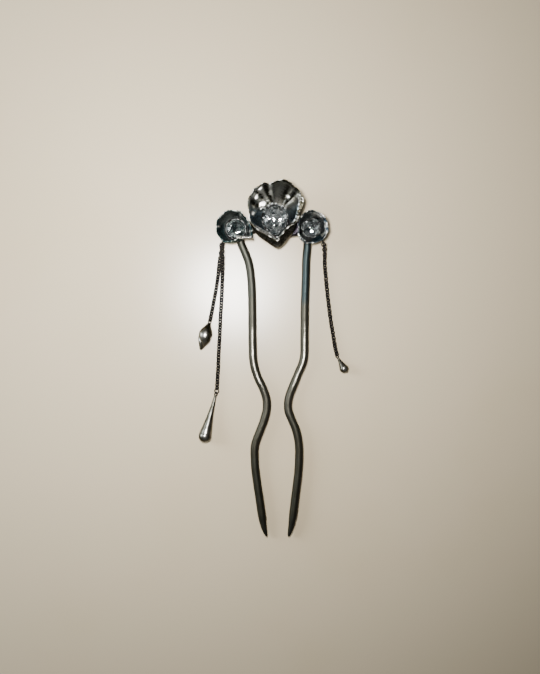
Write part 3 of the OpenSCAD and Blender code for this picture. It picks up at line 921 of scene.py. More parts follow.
@dataclass
class Fork:
    """The bent wire of the pin, ground to a point at both ends.

    Each bend gives a place in the plane and the wire's heading there. A thin painted highlight runs along the
    top of the legs from painted_highlight_from down to painted_highlight_to, painted shade darkens them
    below the waist, and the top of the right leg is blue.
    """

    wire_d: float = 2.9
    tip_d: float = 0.9
    point_len: float = 9.0
    nose_share: float = 0.3
    nose_rise: float = 14.0
    point_power: float = 1.8
    sides: int = 48
    pitch: float = 0.45
    straight: float = 0.0005
    parallel: float = 1e-6
    swell: float = 0.035
    hammered: float = 0.012
    proud_limit: float = 0.02
    even_wear: float = 0.14
    crest_wear_and_light: float = 0.32
    painted_highlight_line: float = 0.28
    mottle: float = 0.05
    # The painted highlight runs along the legs between these heights.
    painted_highlight_from: Spot = (17.0, 6.0)
    painted_highlight_to: Spot = (-16.0, -5.0)
    film_from: Spot = (15.0, 24.0)
    film_below: Spot = (22.0, 40.0)
    # Painted shade darkens the legs below these heights.
    painted_shade_below: Spot = (14.0, 34.0)
    # The rubbed colour is also the colour of the painted highlight along the legs.
    finish: SilverFinish = SilverFinish("fork_silver", Patina.OLIVE, body=(0.062, 0.060, 0.048), matt=0.5,
                                        film=(0.033, 0.046, 0.048), polished=0.26, rubbed=(0.82, 0.76, 0.62),
                                        clouds=0.15, cloud_scale=240.0, dents=0.5, relief=0.025)
    bends: tuple[Triple, ...] = (
        (-2.1, -61.6, 113), (-4.15, -52.4, 98), (-6.45, -32.0, 90), (-3.7, -22.6, 69), (-2.15, -15.6, 90),
        (-4.2, -8.5, 117), (-7.0, 1.6, 92), (-7.2, 16.0, 90.5), (-7.7, 29.2, 96), (-9.2, 36.0, 112),
        (-10.9, 39.9, 114), (-7.2, 45.4, 0), (7.6, 45.4, 0), (12.0, 41.0, -91), (11.5, 33.0, -91),
        (11.0, 14.0, -90.5), (10.9, 2.4, -91), (7.6, -7.6, -112), (5.2, -16.0, -90), (7.2, -22.4, -66),
        (9.1, -32.0, -90), (7.2, -52.4, -97), (5.4, -61.6, -108),
    )

    def stretch(self, a: Array, d: Array, b: Array) -> list[Triple]:
        """One arc of wire.

        Args:
            a: where it starts.
            d: direction in which it starts.
            b: where it ends.

        Returns:
            Places and headings along it, without the last.
        """
        chord = b - a
        cross = d[0] * chord[1] - d[1] * chord[0]
        curvature = 2 * cross / (chord @ chord)
        sweep = 2 * math.degrees(math.atan2(cross, d @ chord))
        start = math.degrees(math.atan2(d[1], d[0]))
        is_straight = abs(curvature) < self.straight
        length = np.linalg.norm(chord) if is_straight else abs(math.radians(sweep) / curvature)
        n = max(1, math.ceil(length / self.pitch))
        out = []
        for i in range(n):
            turn = sweep * i / n
            if is_straight:
                at = a + chord * i / n
            else:
                at = a + (heading(start + turn - 90) - heading(start - 90)) / curvature
            out.append((at[0], at[1], start + turn))
        return out

    def path(self) -> Array:
        """Places and headings along the whole wire, two arcs from each bend to the next.

        Returns:
            One row for each place, from the left point to the right one.
        """
        rows = []
        for p, q in zip(self.bends, self.bends[1:]):
            a, b = np.array(p[:2]), np.array(q[:2])
            u, w = heading(p[2]), heading(q[2])
            v, t, k = b - a, u + w, 2 * (1 - u @ w)
            if k < self.parallel:
                reach = (v @ v) / (4 * (v @ w))
            else:
                reach = (math.sqrt((v @ t) ** 2 + k * (v @ v)) - v @ t) / k
            mid = (a + b + reach * (u - w)) / 2
            rows += self.stretch(a, u, mid) + self.stretch(mid, unit(mid - (a + reach * u)), b)
        rows.append(self.bends[-1])
        return np.array(rows)

    def build(self) -> Piece:
        """Makes the wire's mesh, slightly uneven as drawn and hammered wire is.

        Returns:
            The wire.
        """
        path = self.path()
        angle = np.radians(path[:, 2])
        centres = at_height(path[:, :2], self.wire_d / 2)
        u = np.clip((path[:, 1] - self.bends[0][1]) / self.point_len, 0, 1)
        nose = np.sqrt(np.clip(self.nose_share + self.nose_rise * u, 0, 1))
        radius = self.tip_d / 2 * nose + (self.wire_d - self.tip_d) / 2 * (1 - (1 - u) ** self.point_power)
        sides = np.column_stack([np.sin(angle), -np.cos(angle), np.zeros(len(path))])
        ups = np.tile([0.0, 0.0, 1.0], (len(path), 1))
        grid = tube_points(centres, sides, ups, radius, self.sides)
        uneven = ripple(grid, 5.0, 3) * self.swell + ripple(grid, 1.7, 4) * self.hammered
        out = grid - centres[:, None, :]
        grow = 1 + np.minimum(uneven, self.proud_limit) / radius[:, None]
        grid = centres[:, None, :] + out * grow[..., None]
        grid[..., 2] = np.maximum(grid[..., 2], 0.0)
        return tube_object("fork_wire", grid)

    def dress(self) -> None:
        """Builds the wire and gives it its finish."""
        obj = self.build()
        co = places(obj)
        x, y = co[:, 0], co[:, 1]
        up = facing(obj, Side.UP)
        # Painted highlight: a thin bright line along the top of each leg, over only part of its length.
        start, end = self.painted_highlight_from
        rubbed = step_up(-y, -start, -end) * step_up(y, *self.painted_highlight_to)
        # Lighter where the wire faces up and darker on its sides: partly rubbed metal, partly painted shade
        # on the sides.
        crest = self.crest_wear_and_light * step_up(up, 0.45, 0.92)
        fine = self.painted_highlight_line * step_up(up, 0.972, 0.999) * rubbed
        wear = self.even_wear + crest + fine + self.mottle * ripple(co, 6.0, 9)
        right = step_up(x, 0.0, 4.0)
        film = step_up(y, *self.film_from) * (0.35 + 0.5 * right) + 0.5 * step_up(-y, *self.film_below)
        # Painted shade: the depth given here darkens the legs below the waist.
        store_wear_and_light(obj, wear, 0.9 * step_up(-y, *self.painted_shade_below), film)
        finish_piece(obj, self.finish, "pin_frame")


# The flower cups


@dataclass
class FlowerCup:
    """A petal-walled cup of hammered sheet with a folded, uneven rim.

    Each row of the wall's table gives an angle, the radius of the fold, the radius of the rim, the rim's
    height and the radius of the belly. Each flute gives an angle, a half width in degrees and how far it
    presses in; flutes that press in can be painted lighter inside as highlights, the others darker as shade.
    Each knuckle is a flattened spot of the wall, painted brighter as a highlight, given by its angle, its
    radius, how flat it is and its width. Each film is a tinted part of the inside, and each row of the lip's
    wear and shade a brighter or darker part of the lip, the darker ones painted shade on the side away from
    the light: both give an angle, a half width in degrees and a strength.
    """

    name: str
    at: Spot
    rows: tuple[WallRow, ...]
    finish: SilverFinish
    wall: float = 0.7
    base_z: float = 1.5
    flutes: tuple[Triple, ...] = ()
    knuckles: tuple[Knuckle, ...] = ()
    films: tuple[Triple, ...] = ()
    belly_pull: float = 0.62
    belly_push: float = 1.88
    rim_share: float = 0.45
    fold_drop: float = 0.5
    fold_lift: float = 0.35
    fold_slope: float = 0.2
    curl: float = 0.12
    lip_flute: float = 0.15
    press_power: float = 1.5
    press_ease: float = 0.85
    patch_ragged: float = 0.26
    patch_grit: float = 0.07
    patch_core: float = 1.6
    shelf_rise: float = 0.25
    shelf_span: Spot = (-0.4, 1.0)
    edge_round: float = 0.4
    outer_wear: float = 0.12
    inner_wear: float = 0.5
    bottom_wear: float = 0.5
    rim_wear: float = 0.04
    rim_dark: float = 0.4
    rim_change: float = 0.75
    rim_spread: float = 0.5
    crest_share: float = 0.55
    broad_share: float = 1.3
    knuckle_highlight: float = 0.42
    flute_light_and_shade: float = 0.0
    lip_crush: float = 0.0
    lip_dark: float = 0.26
    lip_glints: float = 0.9
    lip_past: float = 3.0
    lip_fade: float = 4.0
    spot_level: float = 0.35
    lip_wear_and_shade: tuple[Triple, ...] = ()
    nicks: float = 0.1
    nick_lift: float = 0.8
    nick_count: int = 21
    lumps: float = 0.05
    seed: int = 1
    around: int = 320
    up: int = 44
    lip_steps: int = 8
    edge_steps: int = 9

    def wall_rows(self, angles: Array) -> Array:
        """Rows of the wall's table, joined smoothly.

        Args:
            angles: in degrees.

        Returns:
            One row for each angle.
        """
        rows = np.array(self.rows, dtype=float)
        turn = np.zeros(rows.shape[1])
        turn[0] = 360
        wide = np.vstack([rows[-1] - turn, rows, rows[0] + turn, rows[1] + turn])
        i = np.searchsorted(rows[:, 0], angles, side="right")
        p0, p1, p2, p3 = wide[i - 1], wide[i], wide[i + 1], wide[i + 2]
        h = (p2 - p1)[:, :1]
        m1 = (p2 - p0) / (p2 - p0)[:, :1]
        m2 = (p3 - p1) / (p3 - p1)[:, :1]
        t = ((angles - p1[:, 0]) / h[:, 0])[:, None]
        return ((2 * t ** 3 - 3 * t ** 2 + 1) * p1 + (t ** 3 - 2 * t ** 2 + t) * h * m1
                + (3 * t ** 2 - 2 * t ** 3) * p2 + (t ** 3 - t ** 2) * h * m2)

    def flute_at(self, angles: Array) -> Array:
        """How far the flutes press the wall in.

        Args:
            angles: in degrees.

        Returns:
            One depth for each angle.
        """
        flute = np.zeros_like(angles)
        for at, width, depth in self.flutes:
            flute += depth * bump(angle_between(angles, at), width)
        return flute

    def press(self, t: Array) -> Array:
        """Share of a flute's depth by height up the wall."""
        return t ** self.press_power * (1 - self.press_ease * t ** 2)

    def around_at(self, points: Array) -> Array:
        """Heading of each point from the middle of the cup, in degrees."""
        return np.degrees(np.arctan2(points[..., 1], points[..., 0]))

    def folded_out(self, angles: Array, full: float) -> Array:
        """Where the lip is folded out, as a column: 0 where it is narrow, 1 at its full width."""
        row = self.wall_rows(angles)
        return column(step_up(row[:, 2] - row[:, 1], 0.6, full))

    def patch(self, points: Array, centre: Array, width: float) -> Array:
        """Mask of an uneven patch of the wall.

        Args:
            points: places on the wall.
            centre: middle of the patch, seen from above.
            width: how far it reaches.

        Returns:
            1 on the patch, falling to 0 at its ragged edge.
        """
        ragged = self.patch_ragged * ripple(points, 1.2, self.seed + 12)
        uneven = 1 + ragged + self.patch_grit * ripple(points, 0.6, self.seed + 13)
        away = np.linalg.norm(points[..., :2] - centre, axis=-1) * uneven
        return np.clip(self.patch_core * bump(away, width), 0, 1)

    def profiles(self, angles: Array) -> tuple[Array, Array]:
        """Outer and inner outline of the wall at each angle.

        Args:
            angles: in degrees, one for each outline.

        Returns:
            Radius and height by angle and step, for the outer and for the inner face.
        """
        row = self.wall_rows(angles)
        nick = np.zeros_like(angles)
        rng = np.random.default_rng(self.seed)
        for _ in range(self.nick_count):
            nick += rng.uniform(-1, 0.6) * bump(angle_between(angles, rng.uniform(0, 360)), rng.uniform(2, 5))
        fold_r, rim_r, rim_z, belly = (row[:, i] for i in range(1, 5))
        rim_r = rim_r + self.nicks * nick
        rim_z = rim_z + self.nicks * self.nick_lift * nick
        width = np.abs(rim_r - fold_r)
        fold_z = rim_z - self.fold_drop + self.fold_lift * step_up(width, 0.6, 1.3) - self.fold_slope * width
        side_r = self.belly_push * belly - self.belly_pull * fold_r
        flute, fold_r, fold_z = column(self.flute_at(angles)), column(fold_r), column(fold_z)
        rim_r, rim_z = column(rim_r), column(rim_z)
        t = np.linspace(0, 1, self.up)[None, :]
        r = (3 * (1 - t) ** 2 * t * self.belly_pull * column(belly) + 3 * (1 - t) * t ** 2 * column(side_r)
             + t ** 3 * fold_r - flute * self.press(t))
        z = self.base_z + (1.5 * (1 - t) * t ** 2 + t ** 3) * (fold_z - self.base_z)
        s = np.linspace(0, 1, self.lip_steps + 1)[None, 1:]
        curl = self.curl * np.sin(math.pi * s) * step_up(rim_r - fold_r, 0.6, 1.8)
        lip_r = fold_r + s * (rim_r - fold_r) - flute * self.lip_flute
        lip_z = fold_z + s * (rim_z - fold_z) + curl
        outer = np.stack([np.hstack([r, lip_r]), np.hstack([z, lip_z])], axis=-1)
        d = unit(np.gradient(outer, axis=1))
        thin = np.concatenate([t[0], np.ones(self.lip_steps)])[None, :, None]
        thick = self.wall * (1 - (1 - self.rim_share) * thin ** 2)
        inner = outer + thick * np.stack([-d[..., 1], d[..., 0]], axis=-1)
        inner[:, 0, 0] = 0.0
        inner[..., 0] = np.maximum(inner[..., 0], 0.0)
        return outer, inner

    def shell(self) -> tuple[Array, Array]:
        """Points of the whole wall and their depth in the hollow.

        Returns:
            Points by angle and by place from the bottom outside, over the rim, to the bottom inside, and one
            depth for each of them.
        """
        angles = np.linspace(0, 360, self.around, endpoint=False)
        outer, inner = self.profiles(angles)
        top_o, top_i = outer[:, -1], inner[:, -1]
        middle = (top_o + top_i) / 2
        ahead = unit(outer[:, -1] - outer[:, -2]) * self.wall * self.rim_share * self.edge_round
        a = np.linspace(0, math.pi, self.edge_steps + 2)[1:-1]
        edge = (middle[:, None] + np.cos(a)[None, :, None] * (top_o - middle)[:, None]
                + np.sin(a)[None, :, None] * ahead[:, None])
        outline = np.concatenate([outer[:, 1:], edge, inner[:, :0:-1]], axis=1)
        r, z = outline[..., 0], outline[..., 1]
        a = column(np.radians(angles))
        points = np.stack([r * np.cos(a), r * np.sin(a), z], axis=-1)
        inside = np.zeros(outline.shape[1])
        inside[-(inner.shape[1] - 1):] = 1.0
        rim = z[:, outer.shape[1]:outer.shape[1] + 1]
        sunk = np.clip((rim - z) / (rim - self.base_z), 0, 1) * inside[None, :]
        return points, sunk

    def hammer(self, points: Array, sunk: Array) -> Array:
        """Adds the lumps, the crushed lip and the flattened spots to the wall.

        Args:
            points: by angle and by place from the bottom outside to the bottom inside.
            sunk: depth in the hollow of each point.

        Returns:
            The points where the hammer left them.
        """
        around, steps = points.shape[:2]
        normal = np.cross(np.gradient(points, axis=1), np.roll(points, -1, 0) - np.roll(points, 1, 0))
        dents = self.lumps * (ripple(points, 2.6, self.seed + 5) + 0.5 * ripple(points, 1.1, self.seed + 6))
        wide = self.folded_out(np.linspace(0, 360, around, endpoint=False), 1.2)
        lip = bump(np.arange(steps) - (steps / 2 + self.lip_steps / 2), 1.2 * self.lip_steps)[None, :]
        crushed = ripple(points, 1.5, self.seed + 8) + ripple(points, 0.8, self.seed + 9)
        dents += self.lip_crush * wide * lip * crushed
        points = points + unit(normal) * dents[..., None]
        for at, r, flat, width in self.knuckles:
            shelf = self.patch(points, r * heading(at), width) * (sunk > 0)
            level = (points[..., 2] * shelf).sum() / shelf.sum() + self.shelf_rise * width
            points[..., 2] += flat * shelf * np.clip(level - points[..., 2], *self.shelf_span)
        return points

    def build(self) -> Piece:
        """Makes the cup's mesh and stores its wear, with its painted highlights and shade.

        Returns:
            The cup.
        """
        points, sunk = self.shell()
        points = self.hammer(points, sunk)
        around, steps = points.shape[:2]
        floor = np.array([[0, 0, self.base_z], [0, 0, self.base_z + self.wall]])
        faces = grid_faces(around, steps, True, False)
        low, high = around * steps, around * steps + 1
        pairs = [(i * steps, (i + 1) % around * steps) for i in range(around)]
        faces += [[a, low, b] for a, b in pairs]
        faces += [[b + steps - 1, high, a + steps - 1] for a, b in pairs]
        place = np.array([*self.at, 0.0])
        obj = new_object(self.name, np.vstack([points.reshape(-1, 3), floor]) + place, faces)
        wear = self.wear(points) + 0.5 * (proudness(obj, 0.07, 7)[:-2].reshape(around, steps) - 0.5)
        film = np.zeros_like(sunk)
        for at, width, strength in self.films:
            film += strength * bump(angle_between(self.around_at(points), at), width) * (sunk > 0)
        # Painted shade: the depth darkens the inside towards the bottom of the cup.
        store_wear_and_light(obj, np.append(wear, [self.outer_wear, self.bottom_wear]), np.append(sunk, [0.0, 1.0]),
                   np.append(film, [0, 0]))
        return obj

    def wear(self, points: Array) -> Array:
        """How far each point of the wall is rubbed, with its painted highlights and shade.

        Args:
            points: by angle and by place from the bottom outside to the bottom inside.

        Returns:
            One value for each point: dark outside, broken bright spots on the rim, satin inside.
        """
        around, steps = points.shape[:2]
        angles = np.linspace(0, 360, around, endpoint=False)
        wide = self.folded_out(angles, 1.3)
        j = np.arange(steps)
        rim = self.up + self.lip_steps - 1
        inner = rim + self.edge_steps
        wear = np.where(j < rim, self.outer_wear, self.inner_wear) * np.ones((around, 1))
        lip = step_up(inner + self.lip_steps + self.lip_past - j, 0.0, self.lip_fade) * (j >= inner)
        # Painted highlights: bright spots on the folded-out lip stand in for glints off its crushed metal.
        spots = np.clip(ripple(points, 1.3, self.seed + 2) - self.spot_level, 0, 1)
        wear += lip * (-self.lip_dark + self.lip_glints * wide * spots)
        grit = 0.7 + 0.8 * ripple(points, 0.7, self.seed + 10)
        # Brighter and darker parts of the lip: the darker ones, on the right, are painted shade away from the
        # light.
        for at, half, share in self.lip_wear_and_shade:
            wear += share * lip * bump(angle_between(self.around_at(points), at), half) * grit
        from_edge = j - (rim + inner - 1) / 2
        crest = bump(from_edge, self.crest_share * self.edge_steps)
        broad = bump(from_edge, self.broad_share * self.edge_steps)
        worn = ripple(points, 2.4, self.seed + 3) + 0.8 * ripple(points, 0.9, self.seed + 4)
        wear += crest * (self.rim_wear - self.rim_dark + self.rim_change * worn)
        wear += self.rim_spread * broad * np.clip(worn - 0.3, 0, 0.8)
        # Painted highlights on the flattened knuckles.
        for at, r, _, width in self.knuckles:
            wear += self.knuckle_highlight * self.patch(points, r * heading(at), width) * (j >= inner)
        # Painted light on the flutes: lighter on those that press in, as highlights, darker on the others, as
        # shade.
        t = np.clip(1 - (j - inner - self.lip_steps) / (self.up - 1), 0, 1) * (j >= inner + self.lip_steps)
        wear += self.flute_light_and_shade * self.flute_at(angles)[:, None] * self.press(t)
        return wear

    def dress(self) -> None:
        """Builds the cup and gives it its finish."""
        finish_piece(self.build(), self.finish, "pin_frame")


HEART_ROWS: tuple[WallRow, ...] = (
    (0, 7.0, 8.3, 9.2, 7.5), (20, 8.0, 9.6, 9.6, 7.9), (34, 9.0, 9.9, 9.7, 8.0), (50, 9.4, 10.1, 9.6, 8.0),
    (66, 10.1, 10.5, 9.5, 8.3), (78, 10.3, 10.7, 9.4, 8.4), (92, 9.8, 10.1, 9.1, 8.0),
    (104, 9.5, 9.85, 8.9, 7.8), (116, 9.8, 10.2, 9.2, 8.2), (128, 10.2, 10.65, 9.0, 8.3),
    (138, 10.1, 10.55, 9.2, 8.3), (150, 10.2, 10.7, 8.9, 8.3), (164, 9.9, 10.3, 8.9, 8.4),
    (184, 9.4, 9.8, 8.7, 8.8), (204, 9.5, 10.0, 8.5, 9.5), (228, 8.35, 9.3, 8.4, 10.4),
    (250, 8.2, 9.2, 8.3, 11.0), (262, 8.95, 9.8, 8.3, 12.0), (271, 10.0, 10.6, 8.4, 12.6),
    (280, 8.3, 8.8, 8.4, 11.9), (292, 7.1, 7.7, 8.6, 10.2), (308, 6.8, 7.2, 8.8, 9.3),
    (326, 6.8, 7.8, 9.0, 8.2), (338, 6.8, 8.1, 9.1, 7.7),
)
HEART_FLUTES: tuple[Triple, ...] = (
    (30, 8, 1.0), (43, 5, -0.9), (53, 4, 0.9), (65, 8, -0.9), (88, 7, 0.5), (105, 4, 2.0),
    (116, 6, -1.7), (127, 5, 1.9), (137, 4.5, -1.4), (147, 5.5, 1.9), (161, 7, -1.2), (182, 8, 0.8),
)
HEART_KNUCKLES: tuple[Knuckle, ...] = (
    (149, 5.7, 0.9, 1.5), (145, 8.6, 0.9, 1.1), (127, 9.7, 0.9, 1.1), (185, 8.1, 0.8, 0.7),
    (52, 6.45, 0.8, 0.65), (104, 8.8, 0.5, 0.6), (108, 7.0, 0.5, 0.6), (36, 8.6, 0.6, 0.6),
)
LEFT_ROWS: tuple[WallRow, ...] = (
    (0, 5.7, 6.1, 7.2, 5.6), (16, 5.2, 5.75, 7.4, 5.3), (42, 4.9, 5.4, 7.5, 5.1), (70, 5.4, 5.9, 7.3, 5.3),
    (84, 5.3, 5.6, 7.1, 5.2), (110, 5.6, 6.0, 7.4, 5.4), (130, 5.6, 5.9, 7.1, 5.4),
    (146, 5.6, 5.95, 7.2, 5.5), (162, 5.8, 6.1, 7.0, 5.6), (181, 5.6, 5.95, 7.1, 5.6),
    (200, 5.9, 6.2, 6.9, 5.7), (220, 5.7, 6.0, 6.9, 5.7), (236, 5.85, 6.15, 6.8, 5.9),
    (254, 5.1, 5.4, 6.8, 5.6), (272, 4.7, 4.9, 6.9, 5.3), (292, 4.2, 4.6, 7.2, 5.2),
    (308, 4.4, 4.8, 7.3, 5.4), (322, 5.6, 6.0, 7.3, 5.9), (332, 6.6, 7.1, 7.2, 6.2),
    (346, 6.1, 6.6, 7.2, 5.9),
)
LEFT_KNUCKLES: tuple[Knuckle, ...] = (
    (12, 4.8, 0.5, 0.4), (346, 5.8, 0.6, 0.4), (60, 4.8, 0.6, 0.5), (176, 5.0, 0.6, 0.4),
)
RIGHT_ROWS: tuple[WallRow, ...] = (
    (0, 4.1, 4.95, 7.3, 5.0), (26, 4.2, 5.15, 7.5, 4.9), (54, 4.3, 5.2, 7.6, 4.9),
    (76, 4.7, 5.35, 7.5, 5.0), (100, 5.4, 5.8, 7.3, 5.2), (127, 5.3, 5.7, 7.2, 5.2),
    (143, 5.1, 5.45, 7.2, 5.0), (162, 4.9, 5.25, 7.1, 4.9), (185, 4.8, 5.1, 7.0, 4.9),
    (218, 5.7, 6.1, 6.9, 5.5), (240, 5.9, 6.25, 6.8, 5.8), (266, 5.3, 5.7, 6.8, 5.5),
    (304, 5.0, 5.5, 7.0, 5.3), (324, 4.7, 5.45, 7.1, 5.2), (344, 4.4, 5.4, 7.2, 5.1),
)
RIGHT_KNUCKLES: tuple[Knuckle, ...] = (
    (82, 4.6, 0.8, 0.7), (62, 4.6, 0.8, 0.6), (5, 4.5, 0.8, 0.55), (338, 4.9, 0.8, 0.6),
    (323, 4.2, 0.7, 0.6),
)


# Stones and their settings


class Outline(Enum):
    """Outline of a stone seen from above."""

    ROUND = "round"
    PEAR = "pear"


@dataclass(frozen=True)
class StoneCut:
    """Sizes of a cut stone and of the setting round it.

    A pear's point lies at reach from the middle of its head, and turn degrees round from straight down.
    """

    outline: Outline
    at: Spot
    z: float
    width: float
    crown: float
    depth: float
    reach: float = 0.0
    turn: float = 0.0
    gap: float = 0.12
    girdle: float = 0.25
    tip_reach: float = 2.5

    def radius(self, angle: Array, grow: float = 0.0, tip: float = 1.0) -> Array:
        """Distance of the outline from its middle.

        Args:
            angle: in degrees from the pear's point.
            grow: how much wider the outline is than the stone.
            tip: how much farther it grows at the pear's point.

        Returns:
            One distance for each angle.
        """
        head = self.width / 2 + grow
        if self.outline is Outline.ROUND:
            return np.full(np.shape(angle), head)
        reach = self.reach + grow * tip
        side = (head ** 2 + reach ** 2) / (2 * head) - head
        s = np.abs(np.sin(np.radians(angle)))
        flank = np.sqrt((s * side) ** 2 + reach ** 2) - s * side
        return np.where(np.cos(np.radians(angle)) <= 0, head, flank)

    def ring(self, angle: Array, grow: float = 0.0, tip: float = 1.0) -> Array:
        """Points of the outline, in the plane, from the middle of the stone.

        Args:
            angle: in degrees from the pear's point.
            grow: how much wider the outline is than the stone.
            tip: how much farther it grows at the pear's point.

        Returns:
            One point for each angle.
        """
        r = self.radius(angle, grow, tip)
        a = np.radians(angle - 90 + self.turn)
        return np.stack([r * np.cos(a), r * np.sin(a)], axis=-1)


@dataclass
class CutStone:
    """A brilliant-cut stone: table, stars, kites, upper and lower halves, and pavilion mains.

    The upper and lower halves meet the girdle in scallops, which stay within their shares of its height.
    """

    name: str
    cut: StoneCut
    finish: CrystalFinish
    node: str
    arms: int = 8
    halves: int = 4
    crown_share: float = 0.83
    table_share: float = 0.57
    lower_share: float = 0.45
    corner_rise: float = 0.6
    upper_scallop: Spot = (0.62, 1.3)
    lower_scallop: Spot = (-0.3, 0.4)

    def half_facet(self, corner: Array, rim: Array, z: float, scallop: Spot) -> Array:
        """Points of a facet's edge along the girdle, in the plane of the facet.

        Args:
            corner: the facet's corner away from the girdle.
            rim: points of the girdle's outline along the facet, in the plane.
            z: height of the girdle at both ends of the facet.
            scallop: lowest and highest that the edge may lie, as shares of the girdle.

        Returns:
            One point for each point of the outline.
        """
        start, end = np.append(rim[0], z), np.append(rim[-1], z)
        n = np.cross(start - corner, end - corner)
        height = corner[2] - ((rim - corner[:2]) @ n[:2]) / n[2]
        low, high = scallop
        return np.column_stack([rim, np.clip(height, low * self.cut.girdle, high * self.cut.girdle)])

    def build(self) -> Piece:
        """Makes the stone's mesh, one flat face for each facet.

        Returns:
            The stone.
        """
        cut, arms = self.cut, self.arms
        step = 360 / arms
        main = np.arange(arms) * step
        between = self.between_arms()
        table = at_height(cut.ring(main) * self.table_share, cut.girdle + cut.crown)
        stars = at_height(between * self.crown_share, cut.girdle + cut.crown * self.corner_rise)
        lower = at_height(between * self.lower_share, -cut.depth * self.corner_rise)
        culet = np.array([0.0, 0.0, -cut.depth])
        points: list[Array] = [*table, *stars, *lower, culet]
        upper_rim: list[int] = []
        lower_rim: list[int] = []
        mains: list[int] = []
        faces: list[list[int]] = [list(range(arms))]
        for half in range(2 * arms):
            k = half // 2
            angles = (half + np.arange(self.halves + 1) / self.halves) * step / 2
            rim = cut.ring(angles)
            top = self.half_facet(stars[k], rim, cut.girdle, self.upper_scallop)
            low = self.half_facet(lower[k], rim, 0.0, self.lower_scallop)
            if half % 2 == 0:
                mains.append(len(upper_rim))
            for p, q in zip(top[:-1], low[:-1]):
                upper_rim.append(len(points))
                points.append(p)
                lower_rim.append(len(points))
                points.append(q)
        count = len(upper_rim)
        for half in range(2 * arms):
            k = half // 2
            span = [(half * self.halves + i) % count for i in range(self.halves + 1)]
            faces.append([arms + k] + [upper_rim[i] for i in reversed(span)])
            faces.append([2 * arms + k] + [lower_rim[i] for i in span])
        for k in range(arms):
            m = (k + 1) % arms
            faces += [[k, arms + k, m], [m, arms + k, upper_rim[mains[m]], arms + m]]
            faces.append([3 * arms, 2 * arms + k, lower_rim[mains[m]], 2 * arms + m])
        for i in range(count):
            n = (i + 1) % count
            faces.append([lower_rim[i], lower_rim[n], upper_rim[n], upper_rim[i]])
        return new_object(self.name, np.array(points) + np.array([*cut.at, cut.z]), faces, Shading.FACETED)

    def between_arms(self) -> Array:
        """Places midway between two arms, half on the outline and half on its chord.

        Returns:
            One point for each arm.
        """
        step = 360 / self.arms
        k = np.arange(self.arms)
        ring = self.cut.ring
        return (ring(k * step) + 2 * ring((k + 0.5) * step) + ring((k + 1) * step)) / 4

    def dress(self) -> None:
        """Builds the stone and gives it its finish."""
        finish_piece(self.build(), self.finish, self.node)


@dataclass
class Bezel:
    """The collar of silver round a stone, with its seat, its closed floor and the post below.

    The step is how far the collar stands out below its lip, and the shine is how far its top is rubbed.
    """

    name: str
    cut: StoneCut
    post_r: float
    finish: SilverFinish
    wall: float = 0.4
    lip: float = 0.35
    ledge: float = 0.3
    ledge_drop: float = 0.4
    floor: float = 0.4
    tip_room: float = 0.2
    post_z: float = 1.85
    step: float = 0.0
    count: int = 128
    round_off: float = 0.12
    floor_round: float = 0.25
    top_rows: tuple[int, int] = (8, 15)
    seat_row: int = 16
    rows_made: int = 20
    seat_wear: float = 0.85
    body_wear: float = 0.18
    film: float = 0.3
    shine: float = 0.1
    lumps: float = 0.05
    shake: float = 0.015

    def levels(self, floor_z: float) -> list[tuple[float, float, float]]:
        """Outlines of the collar and of its seat, from the bottom outside over the lip to the floor inside.

        Args:
            floor_z: height of the floor inside, from the stone's girdle.

        Returns:
            How much wider than the stone each outline is, how much farther at a pear's point, and its height.
        """
        tip, gap, lip, step = self.cut.tip_reach, self.cut.gap, self.lip, self.step
        wide = gap + self.wall
        bottom = floor_z - self.floor
        outside = [
            (wide - self.round_off, bottom), (wide, bottom + self.round_off), (wide, -0.9),
            (wide + step, -0.75), (wide + step, -0.2), (wide + step * 0.8, 0.02), (wide + step * 0.15, 0.08),
            (wide - 0.02, 0.14), (wide - 0.05, lip - 0.14), (wide - 0.13, lip - 0.03), (wide - 0.22, lip),
            (gap + 0.1, lip - 0.04), (gap + 0.02, lip - 0.14), (gap, 0.0), (gap, -self.ledge_drop),
        ]
        inside = [
            (-self.ledge, -self.ledge_drop - 0.02), (-self.ledge, floor_z + self.floor_round),
            (-self.ledge - self.floor_round, floor_z),
        ]
        return [(grow, tip, z) for grow, z in outside] + [(grow, 1.0, z) for grow, z in inside]

    def build(self) -> Piece:
        """Makes the collar's mesh from outlines at several heights, from the post up and over to the seat.

        Returns:
            The collar.
        """
        cut = self.cut
        floor_z = -cut.depth - self.tip_room
        a = np.arange(self.count) * 360 / self.count
        round_a = np.radians(a - 90)
        post = np.stack([self.post_r * np.cos(round_a), self.post_r * np.sin(round_a)], axis=-1)
        outlines = [(post, self.post_z - cut.z), (post, floor_z - self.floor)]
        outlines += [(cut.ring(a, grow, tip), z) for grow, tip, z in self.levels(floor_z)]
        grid = np.array([at_height(xy, z) for xy, z in outlines]) + np.array([*cut.at, cut.z])
        top = slice(*self.top_rows)
        grid[top, :, 2] += self.lumps * ripple(grid[top], 1.2, 21)
        grid[3:, :, :2] += self.shake * ripple(grid[3:], 0.9, 22)[..., None]
        return tube_object(self.name, grid)

    def dress(self) -> None:
        """Builds the collar and gives it its finish."""
        obj = self.build()
        co = places(obj)
        index = np.arange(len(co)) // self.count
        within = (index >= self.seat_row) & (index < self.rows_made)
        crown = step_up(co[:, 2] - self.cut.z, 0.05, 0.3)
        outside = self.body_wear + 0.4 * (proudness(obj, 0.04, 3) - 0.5)
        outside += crown * (self.shine + 0.45 * ripple(co, 1.3, 23))
        store_wear_and_light(obj, np.where(within, self.seat_wear, outside), 0.0, self.film)
        finish_piece(obj, self.finish, "pin_frame")


@dataclass(frozen=True)
class Grain:
    """A small melted ball of silver."""

    at: Point
    d: float


def add_ball(work: bmesh.types.BMesh, ball: Grain, rounds: int) -> None:
    """Adds a ball to a mesh in the making.

    Args:
        work: the mesh.
        ball: its place and size.
        rounds: how often its faces are split.
    """
    made = bmesh.ops.create_icosphere(work, subdivisions=rounds, radius=ball.d / 2)
    for v in made["verts"]:
        v.co = v.co + Vector(ball.at)


